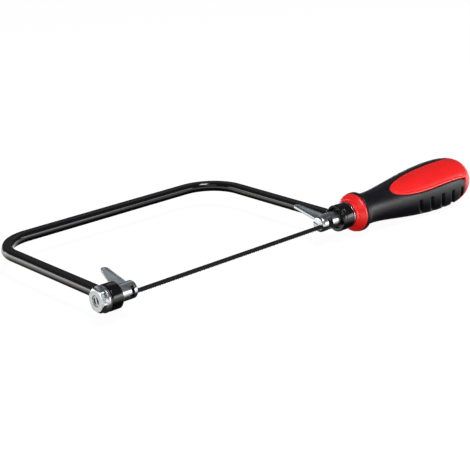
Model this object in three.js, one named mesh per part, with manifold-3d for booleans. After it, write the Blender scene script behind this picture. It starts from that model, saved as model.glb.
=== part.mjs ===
// Coping saw: a bent rod frame, two slotted spigots that hold and turn a fine blade, and a
// screw handle that tensions it. Millimetres, +X from the nose to the handle, +Y from the
// blade to the back of the frame, +Z up. The saw lies flat, and its origin is the bottom
// centre of its bounding box.
import * as THREE from "three";
import { mergeVertices } from "three/addons/utils/BufferGeometryUtils.js";
import Module from "manifold-3d";

const wasm = await Module();
wasm.setup();

// ---- Driving dimensions ----

// Frame
const PIN_SPAN = 162; // between the cross pins of the blade
const PIN_INSET = 13.5; // from the centre line of an arm to the pin beside it
const ARM_SPACING = PIN_SPAN + 2 * PIN_INSET;
const FRAME_DEPTH = 127; // from the spigot axis to the centre line of the frame's back
const BEND_RADIUS = 27; // centre line of both bends
const ROD_WIDTH = 8; // rod diameter, kept in the plane of the frame
const ROD_THICKNESS = 6.5; // across the pressed flats, above and below
const BARREL_CHAMFER = 0.6;
const FRONT_BARREL_DIAMETER = 16.5;
const FRONT_BARREL_LENGTH = 8;
const FRONT_BARREL_SHIFT = 1; // how far its middle stands behind the front arm's centre line
const REAR_BARREL_DIAMETER = 18;
const REAR_BARREL_LENGTH = 9.4;
const REAR_BARREL_SHIFT = 1.9;
const RECESS_DIAMETER = 13.6; // counterbore in the rear barrel, for the spigot's shoulder
const RECESS_DEPTH = 3.2;

// Spigots
const SPIGOT_DIAMETER = 11;
const SHANK_DIAMETER = 8;
const FRONT_NOSE = 4.2; // from the blade pin to the end of the spigot
const REAR_NOSE = 5.7;
const NOSE_ROUND = 2; // edge radius of a spigot's end
const TENSION_TRAVEL = 2.1; // how far the rear spigot comes out as the handle is slackened
const BLADE_TURN = 12.6; // degrees that the blade and levers stand turned about the axis

// Levers
const LEVER_THICKNESS = 1.6;
const LEVER_REACH = 27.6; // from the spigot axis to the lever's tip
const LEVER_TIP_RADIUS = 2.6;
const FRONT_LEVER_STANDOFF = 1.6; // from the barrel to the near edge of the root
const REAR_LEVER_STANDOFF = 0.8;
const LEVER_ROOT_WIDTH = 11;
const LEVER_LEAN = 2.4; // how far the tip's centre stands inside the far edge of the root

// Blade
const BLADE_HEIGHT = 3.8;
const BLADE_THICKNESS = 0.5;
const BLADE_OFFSET = 3.2; // from the spigot axis to the blade's centre line
const BLADE_TAIL = 2.2; // blade past each pin
const TOOTH_PITCH = 1.7; // 15 teeth to the inch
const TOOTH_DEPTH = 0.7;
const TOOTH_RAKE = 0.25; // share of the pitch that a tooth's front face takes
const PLAIN_END = 7; // blade without teeth at each end
const BLADE_PIN_DIAMETER = 1.8;
const BLADE_PIN_LENGTH = 8;

// Nut and washers
const NUT_ACROSS_FLATS = 13;
const NUT_HEIGHT = 4.9;
const NUT_TURN = 49; // degrees from the blade's plane to a corner of the hexagon
const NUT_FLANGE_DIAMETER = 16.6;
const NUT_FLANGE_THICKNESS = 1.4;
const NUT_CHAMFER = 0.7;
const SKIRT_INSET = 0.3; // how far the skirt's top stands inside the hexagon's corners
const WASHER_DIAMETER = 16;
const WASHER_THICKNESS = 0.8;
const FRICTION_WASHER_DIAMETER = 12.8;

// Handle
const HANDLE_TURN = 37; // degrees that the handle stands turned about its axis
const HANDLE_LENGTH = 121;
const THRUST_WASHER_DIAMETER = 17.4;
const COLLAR_FRONT_DIAMETER = 19;
const COLLAR_STEP_DIAMETER = 21.6;
const COLLAR_STEP_LENGTH = 1.7;
const COLLAR_DIAMETER = 26.6;
const COLLAR_LENGTH = 7.2;
const COLLAR_RIM = 1; // length of the collar's straight edge
const LIP_DIAMETER = 26.8; // black lip behind the collar
const LIP_LENGTH = 2.4;
const NECK_DIAMETER = 21.8;
const NECK_AT = 20.5; // from the front of the collar
const BELLY_DIAMETER = 35.2;
const BELLY_AT = 90.5;
const LIP_LEAD = 1.6; // lengths and shares that set how full each curve of the outline is
const NECK_LEAD = 6;
const BUTT_LENGTH_SHARE = 0.72;
const BUTT_RADIUS_SHARE = 0.75;
const GRIP_END = 107; // end of the soft grip
const GRIP_WALL = 2.1;
const PANEL_START = 36; // tip of the hard panel
const PANEL_NOSE = 38;
const PANEL_HALF_WIDTH = 9.6;
const DRAW_NUT_DIAMETER = 12;
const DRAW_NUT_LENGTH = 14;
const THREAD_ENGAGED = 13; // length of the rear spigot's thread inside the handle
const THREAD_ROOM = 0.5; // radial, around the thread past the insert
const THREAD_OVERRUN = 2; // along the axis, past the end of the thread

// Clearances
const SEAT_GAP = 0.3; // between pieces that bear on each other
const RUNNING_GAP = 0.1; // radial, around a turning shank
const SLOT_GAP = 0.3; // each side of the blade and of a pin in a spigot
const PIN_HOLE_GAP = 0.1; // radial, around a pin in the blade

// Facets
const ROUND = 48; // sides of a turned metal piece
const PIN_SIDES = 16;
const HANDLE_SIDES = 32;
const BEND_STEPS = 10;
const ARC_STEPS = 6;
const CURVE_STEPS = 7;
const CUT_PAST = 1; // how far a cutting tool reaches past the face it opens

// ---- Finishes ----

const finish = (color, roughness, metalness) =>
  new THREE.MeshStandardMaterial({ color, roughness, metalness });
const BLACK_PAINT = finish(0x17171a, 0.3, 0.1);
const ZINC = finish(0x9aa3aa, 0.35, 0.9);
const BLUED_STEEL = finish(0x1c1c1f, 0.4, 0.7);
const BRASS = finish(0xb08d4a, 0.35, 0.9);
const RED_PLASTIC = finish(0xe02228, 0.35, 0);
const SOFT_BLACK = finish(0x232327, 0.75, 0);

// ---- Solids ----

// Turns a closed geometry into a solid with its faces outwards.
function solidOf(geometry) {
  const bare = geometry.index ? geometry.toNonIndexed() : geometry.clone();
  bare.deleteAttribute("normal");
  bare.deleteAttribute("uv");
  const merged = mergeVertices(bare, 1e-4);
  const triVerts = new Uint32Array(merged.index.array);
  const vertProperties = merged.attributes.position.array;
  const made = new wasm.Manifold(new wasm.Mesh({ numProp: 3, vertProperties, triVerts }));
  if (made.volume() > 0) return made;
  for (let i = 0; i < triVerts.length; i += 3) {
    [triVerts[i + 1], triVerts[i + 2]] = [triVerts[i + 2], triVerts[i + 1]];
  }
  return new wasm.Manifold(new wasm.Mesh({ numProp: 3, vertProperties, triVerts }));
}

// A named mesh from a solid.
function meshOf(name, solid, material) {
  const { vertProperties, triVerts } = solid.getMesh();
  const geometry = new THREE.BufferGeometry();
  geometry.setAttribute("position", new THREE.BufferAttribute(vertProperties, 3));
  geometry.setIndex(new THREE.BufferAttribute(triVerts, 1));
  geometry.computeVertexNormals();
  const mesh = new THREE.Mesh(geometry, material);
  mesh.name = name;
  return mesh;
}

// A piece turned about the X axis. The profile is a list of [x, radius] points that starts
// and ends on the axis, or returns to its first point.
function turned(profile, sides = ROUND) {
  const points = profile.map(([x, radius]) => new THREE.Vector2(radius, x));
  return solidOf(new THREE.LatheGeometry(points, sides).rotateZ(-Math.PI / 2));
}

const rod = (from, to, diameter) =>
  turned([[from, 0], [from, diameter / 2], [to, diameter / 2], [to, 0]]);

function ring(from, to, diameter, bore) {
  const [inner, outer] = [bore / 2, diameter / 2];
  return turned([[from, inner], [from, outer], [to, outer], [to, inner], [from, inner]]);
}

function box([x0, x1], [y0, y1], [z0, z1]) {
  const geometry = new THREE.BoxGeometry(x1 - x0, y1 - y0, z1 - z0);
  return solidOf(geometry.translate((x0 + x1) / 2, (y0 + y1) / 2, (z0 + z1) / 2));
}

// A flat shape in the XY plane, thickened equally above and below it.
function plate(shape, thickness, curveSegments = ARC_STEPS) {
  const settings = { depth: thickness, bevelEnabled: false, curveSegments };
  return solidOf(new THREE.ExtrudeGeometry(shape, settings).translate(0, 0, -thickness / 2));
}

// A short pin along Z.
function crossPin(x, y, diameter, length) {
  const geometry = new THREE.CylinderGeometry(diameter / 2, diameter / 2, length, PIN_SIDES);
  return solidOf(geometry.rotateX(Math.PI / 2).translate(x, y, 0));
}

// Points along an arc, as [x, radius] points of a profile.
function arc([cx, cr], radius, fromDegrees, toDegrees) {
  return Array.from({ length: ARC_STEPS + 1 }, (_, i) => {
    const angle = THREE.MathUtils.degToRad(
      THREE.MathUtils.lerp(fromDegrees, toDegrees, i / ARC_STEPS),
    );
    return [cx + radius * Math.cos(angle), cr + radius * Math.sin(angle)];
  });
}

// ---- Places along the axis ----

const frontBarrel = [
  FRONT_BARREL_SHIFT - FRONT_BARREL_LENGTH / 2,
  FRONT_BARREL_SHIFT + FRONT_BARREL_LENGTH / 2,
];
const rearBarrel = [
  ARM_SPACING + REAR_BARREL_SHIFT - REAR_BARREL_LENGTH / 2,
  ARM_SPACING + REAR_BARREL_SHIFT + REAR_BARREL_LENGTH / 2,
];
const frontPinX = PIN_INSET;
const rearPinX = ARM_SPACING - PIN_INSET;
const shankBore = SHANK_DIAMETER + 2 * RUNNING_GAP;
const frontLeverEdge = Math.max(
  frontBarrel[1] + FRONT_LEVER_STANDOFF,
  ROD_WIDTH / 2 + SEAT_GAP,
);
const rearLeverEdge = Math.min(
  rearBarrel[0] - REAR_LEVER_STANDOFF,
  ARM_SPACING - ROD_WIDTH / 2 - SEAT_GAP, // so that the lever turns past the arm
);
const washerFace = frontBarrel[0] - SEAT_GAP;
const nutFace = washerFace - WASHER_THICKNESS - SEAT_GAP;
const nutEnd = nutFace - NUT_HEIGHT;
const thrustFace = rearBarrel[1] + SEAT_GAP;
const collarFront = thrustFace + WASHER_THICKNESS + SEAT_GAP;
const buttEnd = collarFront + HANDLE_LENGTH;
const stemRadius = NECK_DIAMETER / 2 - GRIP_WALL - SEAT_GAP; // core, inside collar and neck

// ---- Frame ----

// Centre line of the bow: arm, bend, back, bend, arm, one step to each straight.
class BowPath extends THREE.Curve {
  static STEPS = 3 + 2 * BEND_STEPS;

  // Points are wanted at the ends of the steps, not at equal lengths.
  getUtoTmapping(u) {
    return u;
  }

  getPoint(t, target = new THREE.Vector3()) {
    const step = t * BowPath.STEPS;
    const straightArm = FRAME_DEPTH - BEND_RADIUS;
    const start = FRONT_BARREL_DIAMETER / 2 - ROD_WIDTH / 4;
    const end = REAR_BARREL_DIAMETER / 2 - ROD_WIDTH / 4;
    const quarter = Math.PI / 2;
    if (step <= 1) return target.set(0, THREE.MathUtils.lerp(start, straightArm, step), 0);
    if (step <= 1 + BEND_STEPS) {
      const angle = ((step - 1) / BEND_STEPS) * quarter;
      const x = BEND_RADIUS * (1 - Math.cos(angle));
      return target.set(x, straightArm + BEND_RADIUS * Math.sin(angle), 0);
    }
    if (step <= 2 + BEND_STEPS) {
      const along = step - 1 - BEND_STEPS;
      const x = THREE.MathUtils.lerp(BEND_RADIUS, ARM_SPACING - BEND_RADIUS, along);
      return target.set(x, FRAME_DEPTH, 0);
    }
    if (step <= 2 + 2 * BEND_STEPS) {
      const angle = ((step - 2 - BEND_STEPS) / BEND_STEPS) * quarter;
      const x = ARM_SPACING - BEND_RADIUS * (1 - Math.sin(angle));
      return target.set(x, straightArm + BEND_RADIUS * Math.cos(angle), 0);
    }
    const along = step - 2 - 2 * BEND_STEPS;
    return target.set(ARM_SPACING, THREE.MathUtils.lerp(straightArm, end, along), 0);
  }
}

// Section of the rod: a circle with a flat pressed above and below. Its first coordinate
// lies across the frame's plane.
function rodSection() {
  const radius = ROD_WIDTH / 2;
  const half = Math.asin(ROD_THICKNESS / ROD_WIDTH);
  const shape = new THREE.Shape();
  shape.absarc(0, 0, radius, Math.PI / 2 - half, Math.PI / 2 + half);
  shape.absarc(0, 0, radius, (3 * Math.PI) / 2 - half, (3 * Math.PI) / 2 + half);
  return shape;
}

function frameBow() {
  const geometry = new THREE.ExtrudeGeometry(rodSection(), {
    steps: BowPath.STEPS,
    curveSegments: ARC_STEPS + 2,
    extrudePath: new BowPath(),
  });
  const reach = ROD_WIDTH;
  const rearArm = ARM_SPACING;
  const frontSeat = rod(-reach, reach, FRONT_BARREL_DIAMETER + 2 * SEAT_GAP);
  const rearSeat = rod(rearArm - reach, rearArm + reach, REAR_BARREL_DIAMETER + 2 * SEAT_GAP);
  return meshOf("frame_bow", solidOf(geometry).subtract(frontSeat).subtract(rearSeat), BLACK_PAINT);
}

// A welded barrel with its outer edges broken.
function barrelSolid([from, to], diameter) {
  const radius = diameter / 2;
  const bore = shankBore / 2;
  return turned([
    [from, bore],
    [from, radius - BARREL_CHAMFER],
    [from + BARREL_CHAMFER, radius],
    [to - BARREL_CHAMFER, radius],
    [to, radius - BARREL_CHAMFER],
    [to, bore],
    [from, bore],
  ]);
}

function rearBarrelMesh() {
  const recess = rod(rearBarrel[0] - CUT_PAST, rearBarrel[0] + RECESS_DEPTH, RECESS_DIAMETER);
  const solid = barrelSolid(rearBarrel, REAR_BARREL_DIAMETER).subtract(recess);
  return meshOf("rear_barrel", solid, BLACK_PAINT);
}

// ---- Blade and its pins ----

const bladeBack = -BLADE_OFFSET + BLADE_HEIGHT / 2;
const bladeEdge = -BLADE_OFFSET - BLADE_HEIGHT / 2;

function bladeMesh() {
  const from = frontPinX - BLADE_TAIL;
  const to = rearPinX + BLADE_TAIL;
  const teeth = Math.floor((to - from - 2 * PLAIN_END) / TOOTH_PITCH);
  const toothStart = (from + to - teeth * TOOTH_PITCH) / 2;
  const shape = new THREE.Shape();
  shape.moveTo(from, bladeBack);
  shape.lineTo(from, bladeEdge);
  for (let i = 0; i < teeth; i++) {
    const x = toothStart + i * TOOTH_PITCH;
    shape.lineTo(x, bladeEdge);
    shape.lineTo(x + TOOTH_RAKE * TOOTH_PITCH, bladeEdge + TOOTH_DEPTH);
  }
  shape.lineTo(toothStart + teeth * TOOTH_PITCH, bladeEdge);
  shape.lineTo(to, bladeEdge);
  shape.lineTo(to, bladeBack);
  shape.closePath();
  const hole = BLADE_PIN_DIAMETER + 2 * PIN_HOLE_GAP;
  const solid = [frontPinX, rearPinX].reduce(
    (strip, x) => strip.subtract(crossPin(x, -BLADE_OFFSET, hole, 4 * BLADE_THICKNESS)),
    plate(shape, BLADE_THICKNESS),
  );
  return meshOf("blade", solid, BLUED_STEEL);
}

const bladePin = (name, x) =>
  meshOf(name, crossPin(x, -BLADE_OFFSET, BLADE_PIN_DIAMETER, BLADE_PIN_LENGTH), BLUED_STEEL);

// ---- Spigots ----

// The slot that takes the blade's end and the notch that takes its pin. Both are open on
// the toothed side. The slot runs from past the nose to its floor.
function spigotCuts(noseX, pinX, floorX, travel) {
  const open = -SPIGOT_DIAMETER;
  const past = noseX + CUT_PAST * Math.sign(noseX - floorX);
  const slotX = [Math.min(past, floorX), Math.max(past, floorX)];
  const slotHalf = BLADE_THICKNESS / 2 + SLOT_GAP;
  const slot = box(slotX, [open, bladeBack + SLOT_GAP], [-slotHalf, slotHalf]);
  const notchHalf = BLADE_PIN_DIAMETER / 2 + SLOT_GAP;
  const floor = -BLADE_OFFSET + notchHalf;
  const notchX = [pinX - notchHalf, pinX + notchHalf + travel];
  const notch = box(notchX, [open, floor], [-SPIGOT_DIAMETER, SPIGOT_DIAMETER]);
  return slot.add(notch);
}

function frontSpigot() {
  const radius = SPIGOT_DIAMETER / 2;
  const shank = SHANK_DIAMETER / 2;
  const shoulder = frontBarrel[1] + SEAT_GAP;
  const nose = frontPinX + FRONT_NOSE;
  const tail = nutEnd + SEAT_GAP;
  const body = turned([
    [tail, 0],
    [tail, shank],
    [shoulder, shank],
    [shoulder, radius],
    ...arc([nose - NOSE_ROUND, radius - NOSE_ROUND], NOSE_ROUND, 90, 0),
    [nose, 0],
  ]);
  const cuts = spigotCuts(nose, frontPinX, frontPinX - BLADE_TAIL - SLOT_GAP, 0);
  return meshOf("front_spigot", body.subtract(cuts), ZINC);
}

const washerFloor = rearBarrel[0] + RECESS_DEPTH - SEAT_GAP; // far face of the friction washer
const rearShoulder = washerFloor - WASHER_THICKNESS - SEAT_GAP;
const threadEnd = collarFront + THREAD_ENGAGED;

function rearSpigot() {
  const radius = SPIGOT_DIAMETER / 2;
  const shank = SHANK_DIAMETER / 2;
  const nose = rearPinX - REAR_NOSE;
  const body = turned([
    [nose, 0],
    ...arc([nose + NOSE_ROUND, radius - NOSE_ROUND], NOSE_ROUND, 180, 90),
    [rearShoulder, radius],
    [rearShoulder, shank],
    [threadEnd - 1, shank],
    [threadEnd, shank - 1],
    [threadEnd, 0],
  ]);
  const floor = rearPinX + BLADE_TAIL + TENSION_TRAVEL + SLOT_GAP;
  const cuts = spigotCuts(nose, rearPinX, floor, TENSION_TRAVEL);
  return meshOf("rear_spigot", body.subtract(cuts), ZINC);
}

// ---- Levers ----

// A tapering stamped plate that stands on the spigot. It leans towards the middle of the
// saw, so the rear one is the front one mirrored.
function lever(name, nearEdge, towards) {
  const far = LEVER_ROOT_WIDTH;
  const root = SPIGOT_DIAMETER / 2 - 1;
  const waist = root + (LEVER_REACH - root) / 3;
  const tipX = far - LEVER_LEAN;
  const tipY = LEVER_REACH - LEVER_TIP_RADIUS;
  const shape = new THREE.Shape();
  shape.moveTo(0, root);
  shape.lineTo(far, root);
  shape.quadraticCurveTo(far, waist, tipX + LEVER_TIP_RADIUS, tipY);
  shape.absarc(tipX, tipY, LEVER_TIP_RADIUS, 0, Math.PI);
  shape.closePath();
  const blank = plate(shape, LEVER_THICKNESS);
  const handed = towards > 0 ? blank : blank.mirror([1, 0, 0]);
  const seat = rod(-2 * far, 2 * far, SPIGOT_DIAMETER + 2 * SEAT_GAP);
  return meshOf(name, handed.subtract(seat).translate([nearEdge, 0, 0]), ZINC);
}

// ---- Nut and washers ----

function hexPrism(from, to, acrossFlats) {
  const radius = acrossFlats / Math.sqrt(3);
  const geometry = new THREE.CylinderGeometry(radius, radius, to - from, 6);
  const laid = geometry.rotateZ(-Math.PI / 2).translate((from + to) / 2, 0, 0);
  return solidOf(laid.rotateX(THREE.MathUtils.degToRad(NUT_TURN - 90)));
}

function frontNut() {
  const corner = NUT_ACROSS_FLATS / Math.sqrt(3);
  const flange = NUT_FLANGE_DIAMETER / 2;
  const flangeEnd = nutFace - NUT_FLANGE_THICKNESS;
  const chamfered = turned([
    [nutEnd, 0],
    [nutEnd, corner - NUT_CHAMFER],
    [nutEnd + NUT_CHAMFER, corner],
    [nutFace, corner],
    [nutFace, 0],
  ]);
  const skirtEnd = flangeEnd - NUT_FLANGE_THICKNESS / 2;
  const skirt = turned([
    [skirtEnd, 0],
    [skirtEnd, corner - SKIRT_INSET],
    [flangeEnd, flange],
    [nutFace, flange],
    [nutFace, 0],
  ]);
  const hex = hexPrism(nutEnd, nutFace, NUT_ACROSS_FLATS).intersect(chamfered);
  const hole = rod(nutEnd - CUT_PAST, nutFace + CUT_PAST, shankBore);
  return meshOf("front_nut", hex.add(skirt).subtract(hole), ZINC);
}

// ---- Handle ----

// The handle's outer radius from the front of the grip to the butt, as [x, radius] points.
function handleOutline() {
  const at = (offset, diameter) => new THREE.Vector2(collarFront + offset, diameter / 2);
  const lipFront = COLLAR_LENGTH + SEAT_GAP;
  const lipBack = lipFront + LIP_LENGTH;
  const flare = (BELLY_AT - NECK_AT) / 5;
  const tail = HANDLE_LENGTH - BELLY_AT;
  const curves = [
    [
      at(lipBack, LIP_DIAMETER),
      at(lipBack + LIP_LEAD, NECK_DIAMETER),
      at(NECK_AT - NECK_LEAD, NECK_DIAMETER),
      at(NECK_AT, NECK_DIAMETER),
    ],
    [
      at(NECK_AT, NECK_DIAMETER),
      at(NECK_AT + flare, NECK_DIAMETER),
      at(BELLY_AT - 2 * flare, BELLY_DIAMETER),
      at(BELLY_AT, BELLY_DIAMETER),
    ],
    [
      at(BELLY_AT, BELLY_DIAMETER),
      at(BELLY_AT + BUTT_LENGTH_SHARE * tail, BELLY_DIAMETER),
      at(HANDLE_LENGTH, BUTT_RADIUS_SHARE * BELLY_DIAMETER),
      at(HANDLE_LENGTH, 0),
    ],
  ].map((controls) => new THREE.CubicBezierCurve(...controls).getPoints(CURVE_STEPS));
  const joined = curves.flatMap((points, i) => (i ? points.slice(1) : points));
  return [[collarFront + lipFront, LIP_DIAMETER / 2], ...joined.map((p) => [p.x, p.y])];
}

// Outline of the hard panels seen from above: a half ellipse that runs into two straight
// sides. The allowance widens it, for the opening in the grip.
function panelPrism(allowance) {
  const start = collarFront + PANEL_START;
  const centre = start + PANEL_NOSE;
  const halfWidth = PANEL_HALF_WIDTH + allowance;
  const shape = new THREE.Shape();
  shape.absellipse(centre, 0, PANEL_NOSE + allowance, halfWidth, Math.PI / 2, (3 * Math.PI) / 2);
  shape.lineTo(buttEnd + CUT_PAST, -halfWidth);
  shape.lineTo(buttEnd + CUT_PAST, halfWidth);
  shape.closePath();
  return plate(shape, 2 * BELLY_DIAMETER, CURVE_STEPS);
}

// Points of the outline up to a given x, which is added where the outline crosses it. A
// point less than a gap ahead of it is left out.
function outlineUpTo(outline, x) {
  const before = outline.filter(([px]) => px < x - SEAT_GAP);
  const [x0, r0] = before.at(-1);
  const [x1, r1] = outline[before.length];
  return [...before, [x, THREE.MathUtils.mapLinear(x, x0, x1, r0, r1)]];
}

// The outline let in by a depth. Ahead of the neck it stays at the neck's radius.
function letIn(outline, depth) {
  const neck = collarFront + NECK_AT;
  return outline.map(([x, r]) => [x, (x < neck ? NECK_DIAMETER / 2 : r) - depth]);
}

function gripSleeve() {
  const skin = outlineUpTo(handleOutline(), collarFront + GRIP_END);
  const blank = turned([...skin, ...letIn(skin, GRIP_WALL).reverse(), skin[0]], HANDLE_SIDES);
  return meshOf("grip_sleeve", blank.subtract(panelPrism(SEAT_GAP)), SOFT_BLACK);
}

function handleCore() {
  const outline = handleOutline();
  const noseFace = collarFront + SEAT_GAP;
  const gripEnd = collarFront + GRIP_END + SEAT_GAP;
  const under = outlineUpTo(outline, gripEnd);
  const butt = outline.filter(([x]) => x > gripEnd + SEAT_GAP);
  const lowered = turned([
    [noseFace, 0],
    [noseFace, stemRadius],
    ...letIn(under, GRIP_WALL + SEAT_GAP),
    under.at(-1),
    ...butt,
  ], HANDLE_SIDES);
  const full = turned([[outline[0][0], 0], ...outline], HANDLE_SIDES);
  const mouth = noseFace - CUT_PAST;
  const drawBoreEnd = noseFace + DRAW_NUT_LENGTH + SEAT_GAP;
  const drawBore = rod(mouth, drawBoreEnd, DRAW_NUT_DIAMETER + 2 * SEAT_GAP);
  const threadRoom = rod(mouth, threadEnd + THREAD_OVERRUN, SHANK_DIAMETER + 2 * THREAD_ROOM);
  const solid = lowered.add(full.intersect(panelPrism(0))).subtract(drawBore).subtract(threadRoom);
  return meshOf("handle_core", solid, RED_PLASTIC);
}

function handleCollar() {
  const stepEnd = collarFront + COLLAR_STEP_LENGTH;
  const back = collarFront + COLLAR_LENGTH;
  const bore = stemRadius + SEAT_GAP;
  const solid = turned([
    [collarFront, bore],
    [collarFront, COLLAR_FRONT_DIAMETER / 2],
    [stepEnd, COLLAR_STEP_DIAMETER / 2],
    [back - COLLAR_RIM, COLLAR_DIAMETER / 2],
    [back, COLLAR_DIAMETER / 2],
    [back, bore],
    [collarFront, bore],
  ]);
  return meshOf("handle_collar", solid, RED_PLASTIC);
}

// ---- Assembly ----

const turnedGroup = (degrees, ...meshes) => {
  const group = new THREE.Group();
  group.rotation.x = THREE.MathUtils.degToRad(degrees);
  group.add(...meshes);
  return group;
};

// A washer that starts at the given x.
const washer = (name, from, diameter, material) =>
  meshOf(name, ring(from, from + WASHER_THICKNESS, diameter, shankBore), material);

function drawNut() {
  const from = collarFront + 2 * SEAT_GAP;
  const to = from + DRAW_NUT_LENGTH - SEAT_GAP;
  return meshOf("draw_nut", ring(from, to, DRAW_NUT_DIAMETER, shankBore), BRASS);
}

const saw = new THREE.Group();
saw.add(
  frameBow(),
  meshOf("front_barrel", barrelSolid(frontBarrel, FRONT_BARREL_DIAMETER), BLACK_PAINT),
  rearBarrelMesh(),
  turnedGroup(
    BLADE_TURN,
    frontSpigot(),
    rearSpigot(),
    lever("front_lever", frontLeverEdge, 1),
    lever("rear_lever", rearLeverEdge, -1),
    bladeMesh(),
    bladePin("front_blade_pin", frontPinX),
    bladePin("rear_blade_pin", rearPinX),
    washer("front_washer", washerFace - WASHER_THICKNESS, WASHER_DIAMETER, BLUED_STEEL),
    frontNut(),
    washer("friction_washer", washerFloor - WASHER_THICKNESS, FRICTION_WASHER_DIAMETER, BLUED_STEEL),
  ),
  turnedGroup(
    HANDLE_TURN,
    washer("thrust_washer", thrustFace, THRUST_WASHER_DIAMETER, ZINC),
    drawNut(),
    handleCore(),
    handleCollar(),
    gripSleeve(),
  ),
);
const bellyRadius = Math.max(...handleOutline().map(([, r]) => r));
const farSide = FRAME_DEPTH + ROD_WIDTH / 2;
saw.position.set(-(nutEnd + buttEnd) / 2, -(farSide - bellyRadius) / 2, bellyRadius);

const root = new THREE.Group();
root.add(saw);
export default root;
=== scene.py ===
"""Coping saw lying flat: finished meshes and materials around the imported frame.

Sizes are in millimetres, in the saw's own axes: X along the spigots from the centre line of
the front arm, Y towards the back of the frame, Z up. Each mesh is turned about the spigot
axis where its piece stands turned, and is then set in the row frame in metres.
"""
import logging
import math
from dataclasses import dataclass, field
from enum import Enum
from typing import Sequence

import bmesh
import bpy
import numpy as np
from mathutils import Matrix, Vector


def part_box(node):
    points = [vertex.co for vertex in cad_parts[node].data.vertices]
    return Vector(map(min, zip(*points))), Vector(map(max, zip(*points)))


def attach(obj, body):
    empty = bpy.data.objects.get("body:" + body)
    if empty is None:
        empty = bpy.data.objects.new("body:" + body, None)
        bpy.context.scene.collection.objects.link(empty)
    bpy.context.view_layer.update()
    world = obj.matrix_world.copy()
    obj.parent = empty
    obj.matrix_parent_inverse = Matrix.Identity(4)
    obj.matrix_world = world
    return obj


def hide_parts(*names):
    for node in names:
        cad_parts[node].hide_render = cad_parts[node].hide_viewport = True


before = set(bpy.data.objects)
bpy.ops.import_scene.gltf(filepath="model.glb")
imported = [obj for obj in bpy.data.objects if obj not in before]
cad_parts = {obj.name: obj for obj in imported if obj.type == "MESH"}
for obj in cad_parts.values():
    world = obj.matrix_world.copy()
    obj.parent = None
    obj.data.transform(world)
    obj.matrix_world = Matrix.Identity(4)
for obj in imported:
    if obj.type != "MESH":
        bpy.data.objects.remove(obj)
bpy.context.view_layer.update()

log = logging.getLogger("coping_saw")
MM = 0.001
MERGE_DISTANCE = 1e-4
SLIVER = 1e-5
ON_AXIS = 1e-6
STRAIGHT = math.radians(172)
CORNER_SHARE = 0.45
SHARPEST = math.radians(40)
Profile = list[tuple[float, float]]
Point = tuple[float, float, float]
Rgb = tuple[float, float, float]


# ---------------------------------------------------------------- places in the frame


def low(node: str) -> Vector:
    """Lowest corner of a CAD node, in the row frame, in millimetres."""
    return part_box(node)[0] / MM


def high(node: str) -> Vector:
    """Highest corner of a CAD node, in the row frame, in millimetres."""
    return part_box(node)[1] / MM


ROD_WIDTH = 8.0
ARM_SPACING = high("frame_bow").x - low("frame_bow").x - ROD_WIDTH
ORIGIN = Vector((
    low("frame_bow").x + ROD_WIDTH / 2,
    (low("front_barrel").y + high("front_barrel").y) / 2,
    (low("front_barrel").z + high("front_barrel").z) / 2,
))


def span_x(node: str) -> tuple[float, float]:
    """First and last X of a CAD node, in the saw's own axes."""
    return low(node).x - ORIGIN.x, high(node).x - ORIGIN.x


def radius_of(node: str) -> float:
    """Outer radius of a CAD node that is turned about the spigot axis."""
    return (high(node).y - low(node).y) / 2


class Turn(Enum):
    """How far a group of pieces stands turned about the spigot axis, in degrees."""

    NONE = 0.0
    BLADE = 12.6
    HANDLE = 37.0


def to_row(turn: Turn) -> Matrix:
    """Matrix from the saw's own axes in millimetres to the row frame in metres."""
    shift = Matrix.Translation(ORIGIN * MM)
    return shift @ Matrix.Rotation(math.radians(turn.value), 4, "X") @ Matrix.Scale(MM, 4)


# ---------------------------------------------------------------- mesh tools


def object_from(name: str, mesh: bpy.types.Mesh) -> bpy.types.Object:
    """Links a mesh to the scene as a new object.

    Args:
        name: Name of the object.
        mesh: Its mesh.

    Returns:
        The object.
    """
    obj = bpy.data.objects.new(name, mesh)
    bpy.context.scene.collection.objects.link(obj)
    return obj


def clean(mesh: bpy.types.Mesh) -> None:
    """Merges a closed mesh's doubles and points its faces outwards.

    Args:
        mesh: The mesh, changed in place.
    """
    work = bmesh.new()
    work.from_mesh(mesh)
    bmesh.ops.remove_doubles(work, verts=work.verts, dist=MERGE_DISTANCE)
    bmesh.ops.dissolve_degenerate(work, edges=work.edges, dist=SLIVER)
    bmesh.ops.recalc_face_normals(work, faces=work.faces)
    if work.calc_volume(signed=True) < 0:
        bmesh.ops.reverse_faces(work, faces=work.faces)
    work.to_mesh(mesh)
    work.free()


def mesh_object(
    name: str,
    points: Sequence[Sequence[float]],
    faces: Sequence[Sequence[int]],
    edges: Sequence[Sequence[int]] = (),
) -> bpy.types.Object:
    """Makes an object from points and faces, or a path from points and edges.

    Args:
        name: Name of the object.
        points: Vertex positions in millimetres.
        faces: Vertex indices of each face.
        edges: Loose edges, for a path.

    Returns:
        The new object, still in the saw's own axes.
    """
    mesh = bpy.data.meshes.new(name)
    mesh.from_pydata([tuple(p) for p in points], list(edges), [tuple(f) for f in faces])
    if faces:
        clean(mesh)
    return object_from(name, mesh)


def bake(obj: bpy.types.Object) -> bpy.types.Object:
    """Replaces an object's mesh by its evaluated mesh and removes its modifiers.

    Args:
        obj: The object, with its modifiers set.

    Returns:
        The same object.
    """
    graph = bpy.context.evaluated_depsgraph_get()
    graph.update()
    mesh = bpy.data.meshes.new_from_object(obj.evaluated_get(graph), depsgraph=graph)
    obj.modifiers.clear()
    obj.data = mesh
    return obj


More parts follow.
